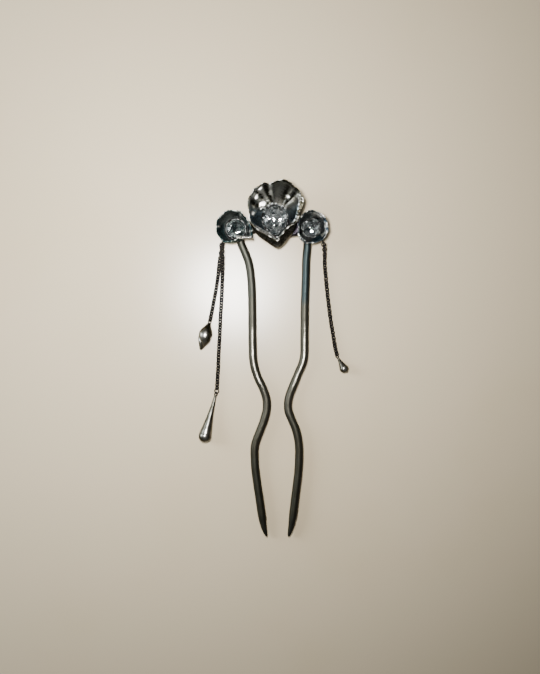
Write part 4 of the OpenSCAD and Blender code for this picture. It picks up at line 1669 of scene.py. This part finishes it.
@dataclass
class GrainRow:
    """Balls of silver that are fused to a rim or a collar, slightly uneven and slumped."""

    name: str
    grains: Sequence[Grain]
    finish: SilverFinish
    seed: int = 31
    lumps: float = 0.03
    slump: Triple = (1.0, 1.0, 0.6)

    def build(self) -> Piece:
        """Makes all the balls as one mesh.

        Returns:
            The balls.
        """
        work = bmesh.new()
        for grain in self.grains:
            add_ball(work, grain, 4)
        points = np.array([v.co[:] for v in work.verts])
        faces = [[v.index for v in f.verts] for f in work.faces]
        work.free()
        points = points + self.lumps * column(ripple(points, 0.7, self.seed)) * np.array(self.slump)
        return new_object(self.name, points, faces)

    def dress(self) -> None:
        """Builds the balls and gives them their finish."""
        obj = self.build()
        crest = 0.3 * step_up(facing(obj, Side.UP), 0.1, 0.9)
        store_wear_and_light(obj, 0.36 + crest + 0.16 * ripple(places(obj), 1.0, self.seed + 1))
        finish_piece(obj, self.finish, "pin_frame")


@dataclass
class RolledEdge:
    """The lumpy roll of silver along the lower edge of the left cup, with a blob at its inner end."""

    start: Point = (-12.2, 42.1, 6.9)
    end: Point = (-7.5, 42.0, 6.9)
    d: float = 1.15
    blob_d: float = 1.4
    lumps: float = 0.09
    fine_lumps: float = 0.04
    smallest_r: float = 0.02
    steps: int = 110
    sides: int = 40
    finish: SilverFinish = SilverFinish(
        "melted_silver", Patina.OLIVE, body=(0.26, 0.25, 0.22), matt=0.34, polished=0.16, dents=0.9, pits=0.5,
        relief=0.09, dent_scale=1500.0)

    def build(self) -> Piece:
        """Makes the roll's mesh.

        Returns:
            The roll.
        """
        a, b = np.array(self.start), np.array(self.end)
        length = np.linalg.norm(b - a)
        along = unit(b - a)
        side, up = side_and_up(along)
        blob = self.blob_d / 2
        s = np.linspace(-self.d / 2, length + blob, self.steps)
        bar = np.sqrt(np.clip((self.d / 2) ** 2 - np.clip(-s, 0, None) ** 2, 1e-4, None))
        ball = np.sqrt(np.clip(blob ** 2 - (s - length) ** 2, 0, None))
        radius = np.maximum(np.where(s > length, ball, np.maximum(bar, ball)), self.smallest_r)
        centres = a + column(s) * along
        grid = tube_points(centres, np.tile(side, (len(s), 1)), np.tile(up, (len(s), 1)), radius, self.sides)
        lumps = self.lumps * ripple(grid, 1.3, 41) + self.fine_lumps * ripple(grid, 0.6, 42)
        lumps = lumps * column(np.minimum(1, radius * 3))
        return tube_object("left_rolled_edge", swollen(grid, centres, lumps))

    def dress(self) -> None:
        """Builds the roll and gives it its finish."""
        obj = self.build()
        store_wear_and_light(obj, proudness(obj, 0.05, 5) - 0.06 + 0.12 * step_up(facing(obj, Side.UP), 0.3, 1.0))
        finish_piece(obj, self.finish, "pin_frame")


@dataclass
class SolderWeb:
    """The web of solder that joins the heart cup to the right cup over the wire."""

    lobes: tuple[Grain, ...] = (
        Grain((5.6, 43.7, 3.6), 2.4), Grain((8.9, 44.0, 3.8), 2.2), Grain((8.4, 47.0, 4.6), 1.8),
        Grain((5.9, 46.2, 4.4), 1.6),
    )
    longest_edge: float = 0.22
    splits: int = 5
    smoothings: int = 3
    lumps: float = 0.12
    fine_lumps: float = 0.07
    finish: SilverFinish = SilverFinish(
        "solder_silver", Patina.VIOLET, body=(0.085, 0.08, 0.09), matt=0.36, polished=0.24, dents=1.0,
        pits=0.8, relief=0.10, dent_scale=1300.0)

    def build(self) -> Piece:
        """Makes the web as the skin over its lobes, then roughens it.

        Returns:
            The web.
        """
        work = bmesh.new()
        for lobe in self.lobes:
            add_ball(work, lobe, 3)
        skin = bmesh.ops.convex_hull(work, input=work.verts)
        buried = [g for g in skin["geom_interior"] if isinstance(g, bmesh.types.BMVert)]
        bmesh.ops.delete(work, geom=buried, context="VERTS")
        for _ in range(self.splits):
            long_edges = [e for e in work.edges if e.calc_length() > self.longest_edge]
            if not long_edges:
                break
            bmesh.ops.subdivide_edges(work, edges=long_edges, cuts=1)
            bmesh.ops.triangulate(work, faces=work.faces)
        for _ in range(self.smoothings):
            bmesh.ops.smooth_vert(work, verts=work.verts, factor=0.4, use_axis_x=True, use_axis_y=True,
                                  use_axis_z=True)
        work.normal_update()
        work.verts.index_update()
        points = np.array([v.co[:] for v in work.verts])
        out = np.array([v.normal[:] for v in work.verts])
        faces = [[v.index for v in f.verts] for f in work.faces]
        work.free()
        lumps = self.lumps * ripple(points, 1.4, 51) + self.fine_lumps * ripple(points, 0.6, 52)
        return new_object("solder_web", points + out * column(lumps), faces)

    def dress(self) -> None:
        """Builds the web and gives it its finish."""
        obj = self.build()
        # Painted shade: the depth of 0.35 darkens the web, which lies low between the cups.
        store_wear_and_light(obj, 0.9 * proudness(obj, 0.09, 5) - 0.1, 0.35)
        finish_piece(obj, self.finish, "pin_frame")


# Chains and drops


@dataclass(frozen=True)
class RingSpec:
    """One ring of round wire."""

    at: Sequence[float]
    axis: Sequence[float]
    d: float
    wire: float

    @property
    def inner_r(self) -> float:
        """Radius of the hole."""
        return self.d / 2 - self.wire


@dataclass
class WireRing:
    """A closed ring of silver wire, such as a fixed loop, a jump ring or the eye of a drop."""

    name: str
    ring: RingSpec
    finish: SilverFinish
    slot: str
    node: str
    steps: int = 64
    sides: int = 24

    def dress(self) -> None:
        """Builds the ring and gives it its finish."""
        r = self.ring
        grid = ring_grid(np.array(r.at), np.array(r.axis), r.d, r.wire, self.steps, self.sides)
        obj = rings_object(self.name, [grid])
        crest = 0.12 * step_up(facing(obj, Side.UP), 0.2, 0.9)
        store_wear_and_light(obj, 0.4 + crest + 0.14 * ripple(places(obj), 1.5, 61))
        finish_piece(obj, self.finish, self.node)


@dataclass
class Chain:
    """A chain of round links, each turned a quarter from the last, between two rings.

    The links lie on the surface at 45 degrees, and turn to it over the first few from the fixed loop on. The
    blackening lies on the wire as a thin crust, which leaves less than the whole gap between two links.
    """

    name: str
    route: tuple[Point, ...]
    start_inner: float
    end_inner: float
    finish: SilverFinish
    link_d: float = 1.7
    link_wire: float = 0.31
    link_gap: float = 0.11
    lie_roll: float = 45.0
    square_links: int = 6
    look: float = 0.3
    crust: float = 0.075
    steps: int = 32
    sides: int = 14

    def links(self) -> list[tuple[Array, Array]]:
        """Places the links along the route, from the fixed loop on.

        Returns:
            Middle and axis of each link.
        """
        points = route_curve(self.route, ROUTE_STEPS)
        run = np.concatenate([[0.0], np.cumsum(np.linalg.norm(np.diff(points, axis=0), axis=1))])

        def place(s: float) -> Array:
            """Point of the route at a distance along it."""
            return np.array([np.interp(s, run, points[:, i]) for i in range(3)])

        inner = self.link_d / 2 - self.link_wire
        first = self.start_inner + inner - self.link_gap
        last = run[-1] - (self.end_inner + inner - self.link_gap)
        gaps = math.ceil((last - first) / (2 * inner - self.link_gap))
        square_roll = -self.lie_roll if gaps % 2 == 0 else self.lie_roll
        out = []
        for i in range(gaps + 1):
            s = first + (last - first) * i / gaps
            along = unit(place(s + self.look) - place(s - self.look))
            square = square_roll * max(0, 1 - i / self.square_links)
            out.append((place(s), ring_axis(along, self.lie_roll + 90 * ((gaps - i) % 2) + square)))
        return out

    def dress(self) -> None:
        """Builds all the links as one mesh and gives them their finish."""
        d, wire = self.link_d + 2 * self.crust, self.link_wire + 2 * self.crust
        grids = [ring_grid(at, axis, d, wire, self.steps, self.sides) for at, axis in self.links()]
        obj = rings_object(self.name, grids)
        co = places(obj)
        store_wear_and_light(obj, 0.36 + 0.14 * ripple(co, 2.2, 71) + 0.1 * ripple(co, 0.5, 72))
        finish_piece(obj, self.finish, self.name)
        log.info("%s has %d links", self.name, len(grids))


@dataclass
class Teardrop:
    """A solid teardrop that widens from a thin neck to a round bulb."""

    name: str
    node: str
    eye_at: Array
    bulb_at: Point
    bulb_d: float
    neck_d: float
    eye_axis: Array
    finish: SilverFinish
    eye_finish: SilverFinish
    eye_d: float = EYE_D
    eye_wire: float = EYE_WIRE
    neck_sink: float = 0.32
    neck_round: float = 0.12
    last_turn: float = 0.02
    shoulder: float = 108.0
    flare_power: float = 1.5
    uneven: float = 0.02
    smoothings: int = 6
    neck_wear: float = 0.1
    bulb_wear: float = 0.1
    mottle: float = 0.06
    neck_steps: int = 60
    bulb_steps: int = 50
    sides: int = 56

    def build(self) -> Piece:
        """Makes the drop's mesh, turned round its length.

        Returns:
            The drop.
        """
        eye, bulb = np.array(self.eye_at), np.array(self.bulb_at)
        run = bulb - eye
        length = np.linalg.norm(run)
        along = unit(run)
        side, up = side_and_up(along)
        r = self.bulb_d / 2
        low = self.eye_d / 2 - self.neck_sink
        turn = math.radians(self.shoulder)
        high = length + r * math.cos(turn)
        s = np.linspace(0, 1, self.neck_steps)
        width = self.neck_d / 2 + (r * math.sin(turn) - self.neck_d / 2) * s ** self.flare_power
        a = np.linspace(turn, self.last_turn, self.bulb_steps)[1:]
        radius = np.concatenate([[self.neck_d / 2 - self.neck_round], width, r * np.sin(a)])
        place = np.concatenate([[low - self.neck_round / 2], low + (high - low) * s, length + r * np.cos(a)])
        for _ in range(self.smoothings):
            radius[2:-2] = (radius[1:-3] + 2 * radius[2:-2] + radius[3:-1]) / 4
        centres = eye + column(place) * along
        n = len(place)
        grid = tube_points(centres, np.tile(side, (n, 1)), np.tile(up, (n, 1)), radius, self.sides)
        grid = swollen(grid, centres, self.uneven * ripple(grid, 2.4, 81))
        grid[..., 2] = np.maximum(grid[..., 2], 0.0)
        return tube_object(self.name, grid)

    def dress(self) -> None:
        """Builds the drop and its eye, and gives them their finish."""
        obj = self.build()
        co = places(obj)
        up = facing(obj, Side.UP)
        run = np.array(self.bulb_at) - np.array(self.eye_at)
        bulb = step_up((co - np.array(self.eye_at)) @ run / (run @ run), 0.3, 0.95)
        # Partly rubbed, partly painted light: a highlight on top, most on the bulb, and shade on the flanks.
        top = (0.16 + 0.24 * bulb) * step_up(up, 0.72, 0.98) + 0.14 * bulb * step_up(up, 0.9, 0.995)
        even = self.neck_wear + self.bulb_wear * bulb
        store_wear_and_light(obj, even + top + self.mottle * ripple(co, 3.0, 82))
        finish_piece(obj, self.finish, self.node)
        ring = RingSpec(self.eye_at, self.eye_axis, self.eye_d, self.eye_wire)
        WireRing(f"{self.name}_eye", ring, self.eye_finish, "drop_silver", self.node).dress()


@dataclass
class TwistedBud:
    """A flower bud with a smooth upper bulge and two spiral grooves that deepen towards its tip."""

    eye_axis: Array
    finish: SilverFinish
    eye_finish: SilverFinish
    eye_at: Point
    line: tuple[Point, ...] = (
        (-22.2, 12.7, 1.8), (-22.85, 10.8, 2.15), (-23.55, 8.6, 2.43), (-24.35, 6.1, 2.05),
        (-25.25, 3.4, 1.3),
    )
    eye_d: float = EYE_D
    eye_wire: float = EYE_WIRE
    d: float = 4.8
    widest: float = 0.52
    top_share: float = 0.22
    tip_share: float = 0.1
    swell_power: float = 1.6
    taper: float = 1.25
    twist: float = 330.0
    groove_depth: float = 0.24
    groove_width: float = 42.0
    groove_from: float = 0.3
    groove_onset: float = 3.0
    crease_depth: float = 0.05
    crease_width: float = 12.0
    uneven: float = 0.03
    steps: int = 40
    look: int = 5
    sides: int = 112
    even_wear: float = 0.12
    top_wear_and_light: float = 0.36
    crest_wear_and_light: float = 0.16
    proud_wear: float = 0.9
    painted_shoulder_shade: float = 0.25
    mottle: float = 0.05

    def build(self) -> Piece:
        """Makes the bud's mesh along its bent middle line.

        Returns:
            The bud.
        """
        run = route_curve(self.line, self.steps)
        n = len(run) - 1
        i = np.arange(n + 1)
        s = i / n
        along = unit(run[np.minimum(i + self.look, n)] - run[np.maximum(i - self.look, 0)])
        side, up = side_and_up(along)
        swell = np.sin(math.pi / 2 * np.minimum(s / self.widest, 1)) ** self.swell_power
        fall = np.clip(np.cos(math.pi / 2 * np.clip((s - self.widest) / (1 - self.widest), 0, 1)), 0, 1)
        share = np.where(s < self.widest, self.top_share + (1 - self.top_share) * swell,
                         self.tip_share + (1 - self.tip_share) * fall ** self.taper)
        radius = self.d / 2 * share
        a = np.arange(self.sides) * 360 / self.sides
        onset = column(np.clip((s - self.groove_from) * self.groove_onset, 0, 1))
        spiral = angle_between(2 * a[None, :] - 2 * column(s) * self.twist, 0.0)
        groove = self.groove_depth * onset * bump(spiral, self.groove_width)
        crease = self.crease_depth * onset * bump(spiral, self.crease_width)
        grid = tube_points(run, side, up, column(radius) * (1 - groove - crease), self.sides)
        grid = swollen(grid, run, self.uneven * ripple(grid, 2.0, 91))
        grid[..., 2] = np.maximum(grid[..., 2], 0.0)
        return tube_object("bud", grid)

    def dress(self) -> None:
        """Builds the bud and its eye, and gives them their finish."""
        obj = self.build()
        up = facing(obj, Side.UP)
        proud = self.proud_wear * (proudness(obj, 0.08, 10) - 0.5)
        co = places(obj)
        start = np.array(self.line[0])
        run = np.array(self.line[-1]) - start
        way = (co - start) @ run / (run @ run)
        # Painted shade: the right-facing side of the upper bud is darkened.
        shoulder = step_up(facing(obj, Side.RIGHT), 0.05, 0.6) * step_up(0.75 - way, 0.0, 0.3)
        # Lighter where the bud faces up: partly rubbed metal, partly a painted highlight.
        top = self.top_wear_and_light * step_up(up, 0.55, 0.94) * step_up(way, 0.05, 0.3)
        crest = self.crest_wear_and_light * step_up(up, 0.86, 0.99)
        rubbed = self.even_wear + top + crest + proud
        store_wear_and_light(obj, rubbed - self.painted_shoulder_shade * shoulder + self.mottle * ripple(co, 1.6, 92))
        finish_piece(obj, self.finish, "bud_drop")
        ring = RingSpec(self.eye_at, self.eye_axis, self.eye_d, self.eye_wire)
        WireRing("bud_eye", ring, self.eye_finish, "drop_silver", "bud_drop").dress()


# The room


@dataclass
class Softbox:
    """A soft round light that looks at one point."""

    name: str
    at: Point
    aim: Point
    d: float
    power: float
    colour: Colour = (1.0, 0.98, 0.95)
    spread: float = 180.0

    def place(self) -> None:
        """Puts the light in the scene."""
        data = bpy.data.lights.new(self.name, "AREA")
        data.shape = "DISK"
        data.size = self.d * MM
        data.energy = self.power
        data.color = self.colour
        data.spread = math.radians(self.spread)
        obj = bpy.data.objects.new(self.name, data)
        obj.location = Vector(self.at) * MM
        obj.rotation_euler = (Vector(self.aim) - Vector(self.at)).to_track_quat("-Z", "Y").to_euler()
        bpy.context.scene.collection.objects.link(obj)


@dataclass
class Studio:
    """Pale floor, soft overhead light and the camera straight above."""

    camera_at: Point = (-1.05, 7.9, 330.0)
    lens: float = 50.36
    sensor: float = 36.0
    clip_m: tuple[float, float] = (0.01, 10.0)
    floor_size: float = 2400.0
    floor: FloorFinish = FloorFinish("pale_stone")
    zenith: Colour = (0.04, 0.042, 0.045)
    horizon: Colour = (0.20, 0.20, 0.195)
    sky_span: tuple[float, float] = (0.15, 0.95)
    lights: tuple[Softbox, ...] = (
        Softbox("key_light", (-24.7, 36.25, 230.0), (-40.0, 60.0, 0.0), d=40.0, power=0.36, spread=100.0),
        Softbox("side_light", (-450.0, 110.0, 200.0), (0.0, 0.0, 0.0), d=260.0, power=2.3,
                colour=(0.92, 0.97, 1.0)),
    )

    def build_floor(self) -> None:
        """Lays the floor under the pin."""
        h = self.floor_size / 2
        points = np.array([[-h, -h, 0], [h, -h, 0], [h, h, 0], [-h, h, 0]])
        obj = new_object("floor", points, [[0, 1, 2, 3]])
        obj.data.materials.append(self.floor.material())

    def build_sky(self) -> None:
        """Lights the room evenly, darker overhead than round the sides."""
        world = bpy.data.worlds.new("room")
        world.use_nodes = True
        tree = world.node_tree
        tree.nodes.clear()
        place = add_node(tree, "ShaderNodeTexCoord")
        split = add_node(tree, "ShaderNodeSeparateXYZ")
        ramp = add_node(tree, "ShaderNodeValToRGB")
        for element, position, colour in zip(ramp.color_ramp.elements, self.sky_span,
                                             (self.horizon, self.zenith)):
            element.position = position
            element.color = rgba(colour)
        light = add_node(tree, "ShaderNodeBackground")
        output = add_node(tree, "ShaderNodeOutputWorld")
        tree.links.new(place.outputs["Generated"], split.inputs["Vector"])
        tree.links.new(split.outputs["Z"], ramp.inputs["Fac"])
        tree.links.new(ramp.outputs["Color"], light.inputs["Color"])
        tree.links.new(light.outputs["Background"], output.inputs["Surface"])
        bpy.context.scene.world = world

    def build_camera(self) -> None:
        """Hangs the camera over the pin, looking straight down."""
        data = bpy.data.cameras.new("photo_camera")
        data.lens = self.lens
        data.sensor_width = self.sensor
        data.sensor_fit = "AUTO"
        data.clip_start, data.clip_end = self.clip_m
        obj = bpy.data.objects.new("photo_camera", data)
        obj.location = Vector(self.camera_at) * MM
        bpy.context.scene.collection.objects.link(obj)
        bpy.context.scene.camera = obj

    def build(self) -> None:
        """Sets up the whole room."""
        self.build_camera()
        self.build_floor()
        self.build_sky()
        for light in self.lights:
            light.place()
        log.info("studio: camera at %s mm, %d lights", self.camera_at, len(self.lights))


# The pin


@dataclass
class HairPin:
    """All the pieces of the pin, in the order in which they are made.

    The balls round the pear's head are given by angle and diameter, and the beads on the right cup's rim by
    angle. Each way holds the points of a chain between its two rings.
    """

    heart_silver: SilverFinish = SilverFinish(
        "heart_silver", Patina.OLIVE, body=(0.42, 0.415, 0.375), matt=0.31, film=(0.20, 0.26, 0.30),
        polished=0.4, clouds=0.16, dents=0.5, relief=0.03)
    left_silver: SilverFinish = SilverFinish(
        "left_cup_silver", Patina.TEAL, body=(0.42, 0.46, 0.43), matt=0.38, film=(0.13, 0.22, 0.23),
        polished=0.4, clouds=0.3, dents=1.0, relief=0.07)
    right_silver: SilverFinish = SilverFinish(
        "right_cup_silver", Patina.BLUE, body=(0.38, 0.39, 0.375), matt=0.36, film=(0.12, 0.20, 0.22),
        polished=0.4, clouds=0.15, dents=0.8, pits=0.4, relief=0.08)
    setting_silver: SilverFinish = SilverFinish(
        "setting_silver", Patina.SOOT, body=(0.22, 0.23, 0.225), matt=0.45, rubbed=(0.9, 0.92, 0.92),
        polished=0.2, dents=0.5, relief=0.04, dent_scale=1600.0)
    chain_silver: SilverFinish = SilverFinish(
        "chain_silver", Patina.SOOT, body=(0.016, 0.014, 0.012), matt=0.72, polished=0.55,
        rubbed=(0.10, 0.09, 0.08), relief=0.02, metal=0.2, specular=0.12)
    drop_silver: SilverFinish = SilverFinish(
        "pale_silver", Patina.OLIVE, body=(0.19, 0.185, 0.16), matt=0.34, polished=0.24, relief=0.03,
        dents=0.5)
    pear_crystal: CrystalFinish = CrystalFinish("pear_crystal", 13.9)
    left_crystal: CrystalFinish = CrystalFinish(
        "left_crystal", 10.5, clear=(0.62, 0.70, 0.69), painted_shade=(0.07, 0.10, 0.10))
    right_crystal: CrystalFinish = CrystalFinish(
        "right_crystal", 12.2, clear=(0.56, 0.60, 0.60), painted_shade=(0.05, 0.065, 0.07))
    heart_at: Spot = (1.3, 51.1)
    left_at: Spot = (-13.6, 45.7)
    right_at: Spot = (13.7, 45.7)
    pear: StoneCut = StoneCut(
        Outline.PEAR, (0.65, 48.8), z=6.32, width=8.3, crown=1.4, depth=2.8, reach=6.0, turn=9.0)
    left: StoneCut = StoneCut(Outline.ROUND, (-12.8, 45.1), z=5.22, width=6.2, crown=1.0, depth=2.0)
    right: StoneCut = StoneCut(Outline.ROUND, (13.1, 45.4), z=5.22, width=5.8, crown=1.0, depth=2.0)
    pear_post_r: float = 2.4
    post_r: float = 1.6
    pear_grains: tuple[tuple[float, float], ...] = (
        (137, 0.9), (117, 0.8), (101, 1.1), (86, 1.0), (56, 0.8), (41, 0.9),
    )
    pear_grain_rise: float = 0.35
    bead_angles: tuple[float, ...] = (206, 214, 222, 230, 238)
    bead_r: float = 5.5
    bead_z: float = 6.75
    bead_d: float = 0.75
    left_loop: RingSpec = RingSpec((-17.6, 40.6, 3.9), across(264), d=2.2, wire=0.42)
    right_loop: RingSpec = RingSpec((17.2, 40.9, 3.9), across(290), d=2.2, wire=0.42)
    jump_at: Point = (-19.65, -10.9, 1.0)
    jump_d: float = 2.3
    jump_wire: float = 0.4
    jump_gap: float = 0.14
    eye_d: float = EYE_D
    eye_wire: float = EYE_WIRE
    long_bulb_at: Point = (-23.7, -26.5, 2.23)
    long_bulb_d: float = 4.4
    long_neck_d: float = 1.0
    bud_eye_at: Point = (-22.05, 13.3, 1.7)
    small_eye_at: Point = (22.4, 1.2, 0.95)
    small_bulb_at: Point = (24.7, -3.1, 1.58)
    small_bulb_d: float = 3.1
    small_neck_d: float = 0.8
    lie_roll: float = 45.0
    long_way: tuple[Point, ...] = (
        (-17.77, 39.0, 3.8), (-17.5, 34.8, 3.0), (-17.6, 30.5, 1.6), (-17.75, 26.5, 0.85), (-18.0, 20.8, 0.7),
        (-18.35, 15.0, 0.7), (-18.6, 9.0, 0.7), (-18.95, 3.0, 0.7), (-19.2, -3.3, 0.7),
    )
    short_way: tuple[Point, ...] = (
        (-17.69, 39.75, 2.1), (-18.1, 37.6, 0.8), (-18.5, 35.5, 0.7), (-18.9, 32.4, 0.7), (-19.35, 28.2, 0.7),
        (-20.0, 24.0, 0.7), (-20.7, 20.4, 0.7), (-21.3, 17.0, 0.9),
    )
    right_way: tuple[Point, ...] = (
        (17.75, 39.0, 3.0), (18.0, 36.0, 1.3), (18.05, 33.0, 0.7), (18.4, 28.9, 0.7), (18.9, 23.6, 0.7),
        (19.5, 18.6, 0.7), (20.2, 13.1, 0.7), (21.0, 8.4, 0.7), (21.6, 4.6, 0.75),
    )

    def build_cups(self) -> None:
        """Makes the heart cup and the two small cups."""
        FlowerCup("heart_cup", self.heart_at, HEART_ROWS, self.heart_silver, wall=0.8, flutes=HEART_FLUTES,
                  knuckles=HEART_KNUCKLES, films=((205, 42, 1.0), (352, 32, 1.0)), flute_light_and_shade=0.6,
                  lip_wear_and_shade=((240, 50, 0.45), (292, 30, 0.2), (170, 30, 0.25), (10, 60, -0.42)),
                  lip_crush=0.12, nicks=0.13, lumps=0.03, seed=7, around=420, up=60).dress()
        FlowerCup("left_cup", self.left_at, LEFT_ROWS, self.left_silver, knuckles=LEFT_KNUCKLES,
                  films=((200, 60, 0.7), (20, 50, 0.5)), lip_wear_and_shade=((0, 70, -0.12),), nicks=0.16,
                  nick_count=38, seed=11).dress()
        FlowerCup("right_cup", self.right_at, RIGHT_ROWS, self.right_silver, knuckles=RIGHT_KNUCKLES,
                  knuckle_highlight=0.6, films=((300, 40, 0.9), (120, 40, 0.4)), lip_wear_and_shade=((0, 80, -0.22),),
                  lip_crush=0.1, nicks=0.2, nick_count=26, lumps=0.06, seed=13).dress()

    def build_settings(self) -> None:
        """Makes the stones, their collars and the balls of silver round them."""
        CutStone("pear_crystal", self.pear, self.pear_crystal, "pear_stone").dress()
        CutStone("left_crystal", self.left, self.left_crystal, "left_stone").dress()
        CutStone("right_crystal", self.right, self.right_crystal, "right_stone").dress()
        silver = self.setting_silver
        Bezel("pear_collar", self.pear, self.pear_post_r, silver, shine=-0.06).dress()
        Bezel("left_collar", self.left, self.post_r, silver, step=0.45, shine=0.0).dress()
        Bezel("right_collar", self.right, self.post_r, silver, shine=-0.08, lumps=0.11).dress()
        grains = []
        for angle, d in self.pear_grains:
            x, y = heading(angle) * (self.pear.width / 2 + self.pear.gap + d / 2)
            at = (self.pear.at[0] + x, self.pear.at[1] + y, self.pear.z + self.pear_grain_rise)
            grains.append(Grain(at, d))
        GrainRow("pear_grains", grains, silver).dress()
        beads = []
        for angle in self.bead_angles:
            x, y = heading(angle) * self.bead_r
            beads.append(Grain((self.right_at[0] + x, self.right_at[1] + y, self.bead_z), self.bead_d))
        GrainRow("right_rim_grains", beads, silver, seed=35).dress()
        RolledEdge().dress()
        SolderWeb().dress()

    def build_chains(self) -> None:
        """Makes the loops, the chains, the jump ring and the three drops."""
        dark, pale = self.chain_silver, self.drop_silver
        loop = self.left_loop.inner_r
        eye = self.eye_d / 2 - self.eye_wire
        jump = self.jump_d / 2 - self.jump_wire
        long_route = (self.left_loop.at, *self.long_way, self.jump_at)
        short_route = (self.left_loop.at, *self.short_way, self.bud_eye_at)
        right_route = (self.right_loop.at, *self.right_way, self.small_eye_at)
        WireRing("left_loop", self.left_loop, dark, "blackened_silver", "pin_frame").dress()
        WireRing("right_loop", self.right_loop, dark, "blackened_silver", "pin_frame").dress()
        Chain("long_chain", long_route, loop, jump, dark).dress()
        Chain("short_chain", short_route, loop, eye, dark).dress()
        Chain("right_chain", right_route, loop, eye, dark).dress()
        fall = unit(np.array(self.long_bulb_at) - np.array(self.jump_at))
        long_eye_at = np.array(self.jump_at) + (jump + eye - self.jump_gap) * fall
        hang = unit(long_eye_at - np.array(long_route[-2]))
        ring = RingSpec(self.jump_at, ring_axis(hang, -self.lie_roll), self.jump_d, self.jump_wire)
        WireRing("jump_ring", ring, dark, "dark_chain", "long_jump_ring").dress()
        Teardrop("long_teardrop", "long_drop", long_eye_at, self.long_bulb_at, self.long_bulb_d,
                 self.long_neck_d, ring_axis(fall, self.lie_roll), pale, dark).dress()
        small_axis = ring_axis(end_along(right_route), -self.lie_roll)
        Teardrop("small_teardrop", "small_drop", np.array(self.small_eye_at), self.small_bulb_at,
                 self.small_bulb_d, self.small_neck_d, small_axis, pale, dark).dress()
        bud_axis = ring_axis(end_along(short_route), -self.lie_roll)
        TwistedBud(bud_axis, pale, dark, self.bud_eye_at).dress()

    def build(self) -> None:
        """Makes every piece of the pin."""
        Fork().dress()
        self.build_cups()
        self.build_settings()
        self.build_chains()


def note_sizes() -> None:
    """Brings the scene up to date."""
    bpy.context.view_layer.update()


def main() -> None:
    """Builds the room and the pin."""
    logging.basicConfig(level=logging.INFO, format="%(name)s: %(message)s")
    Studio().build()
    HairPin().build()
    note_sizes()


if __name__ == "__main__":
    main()
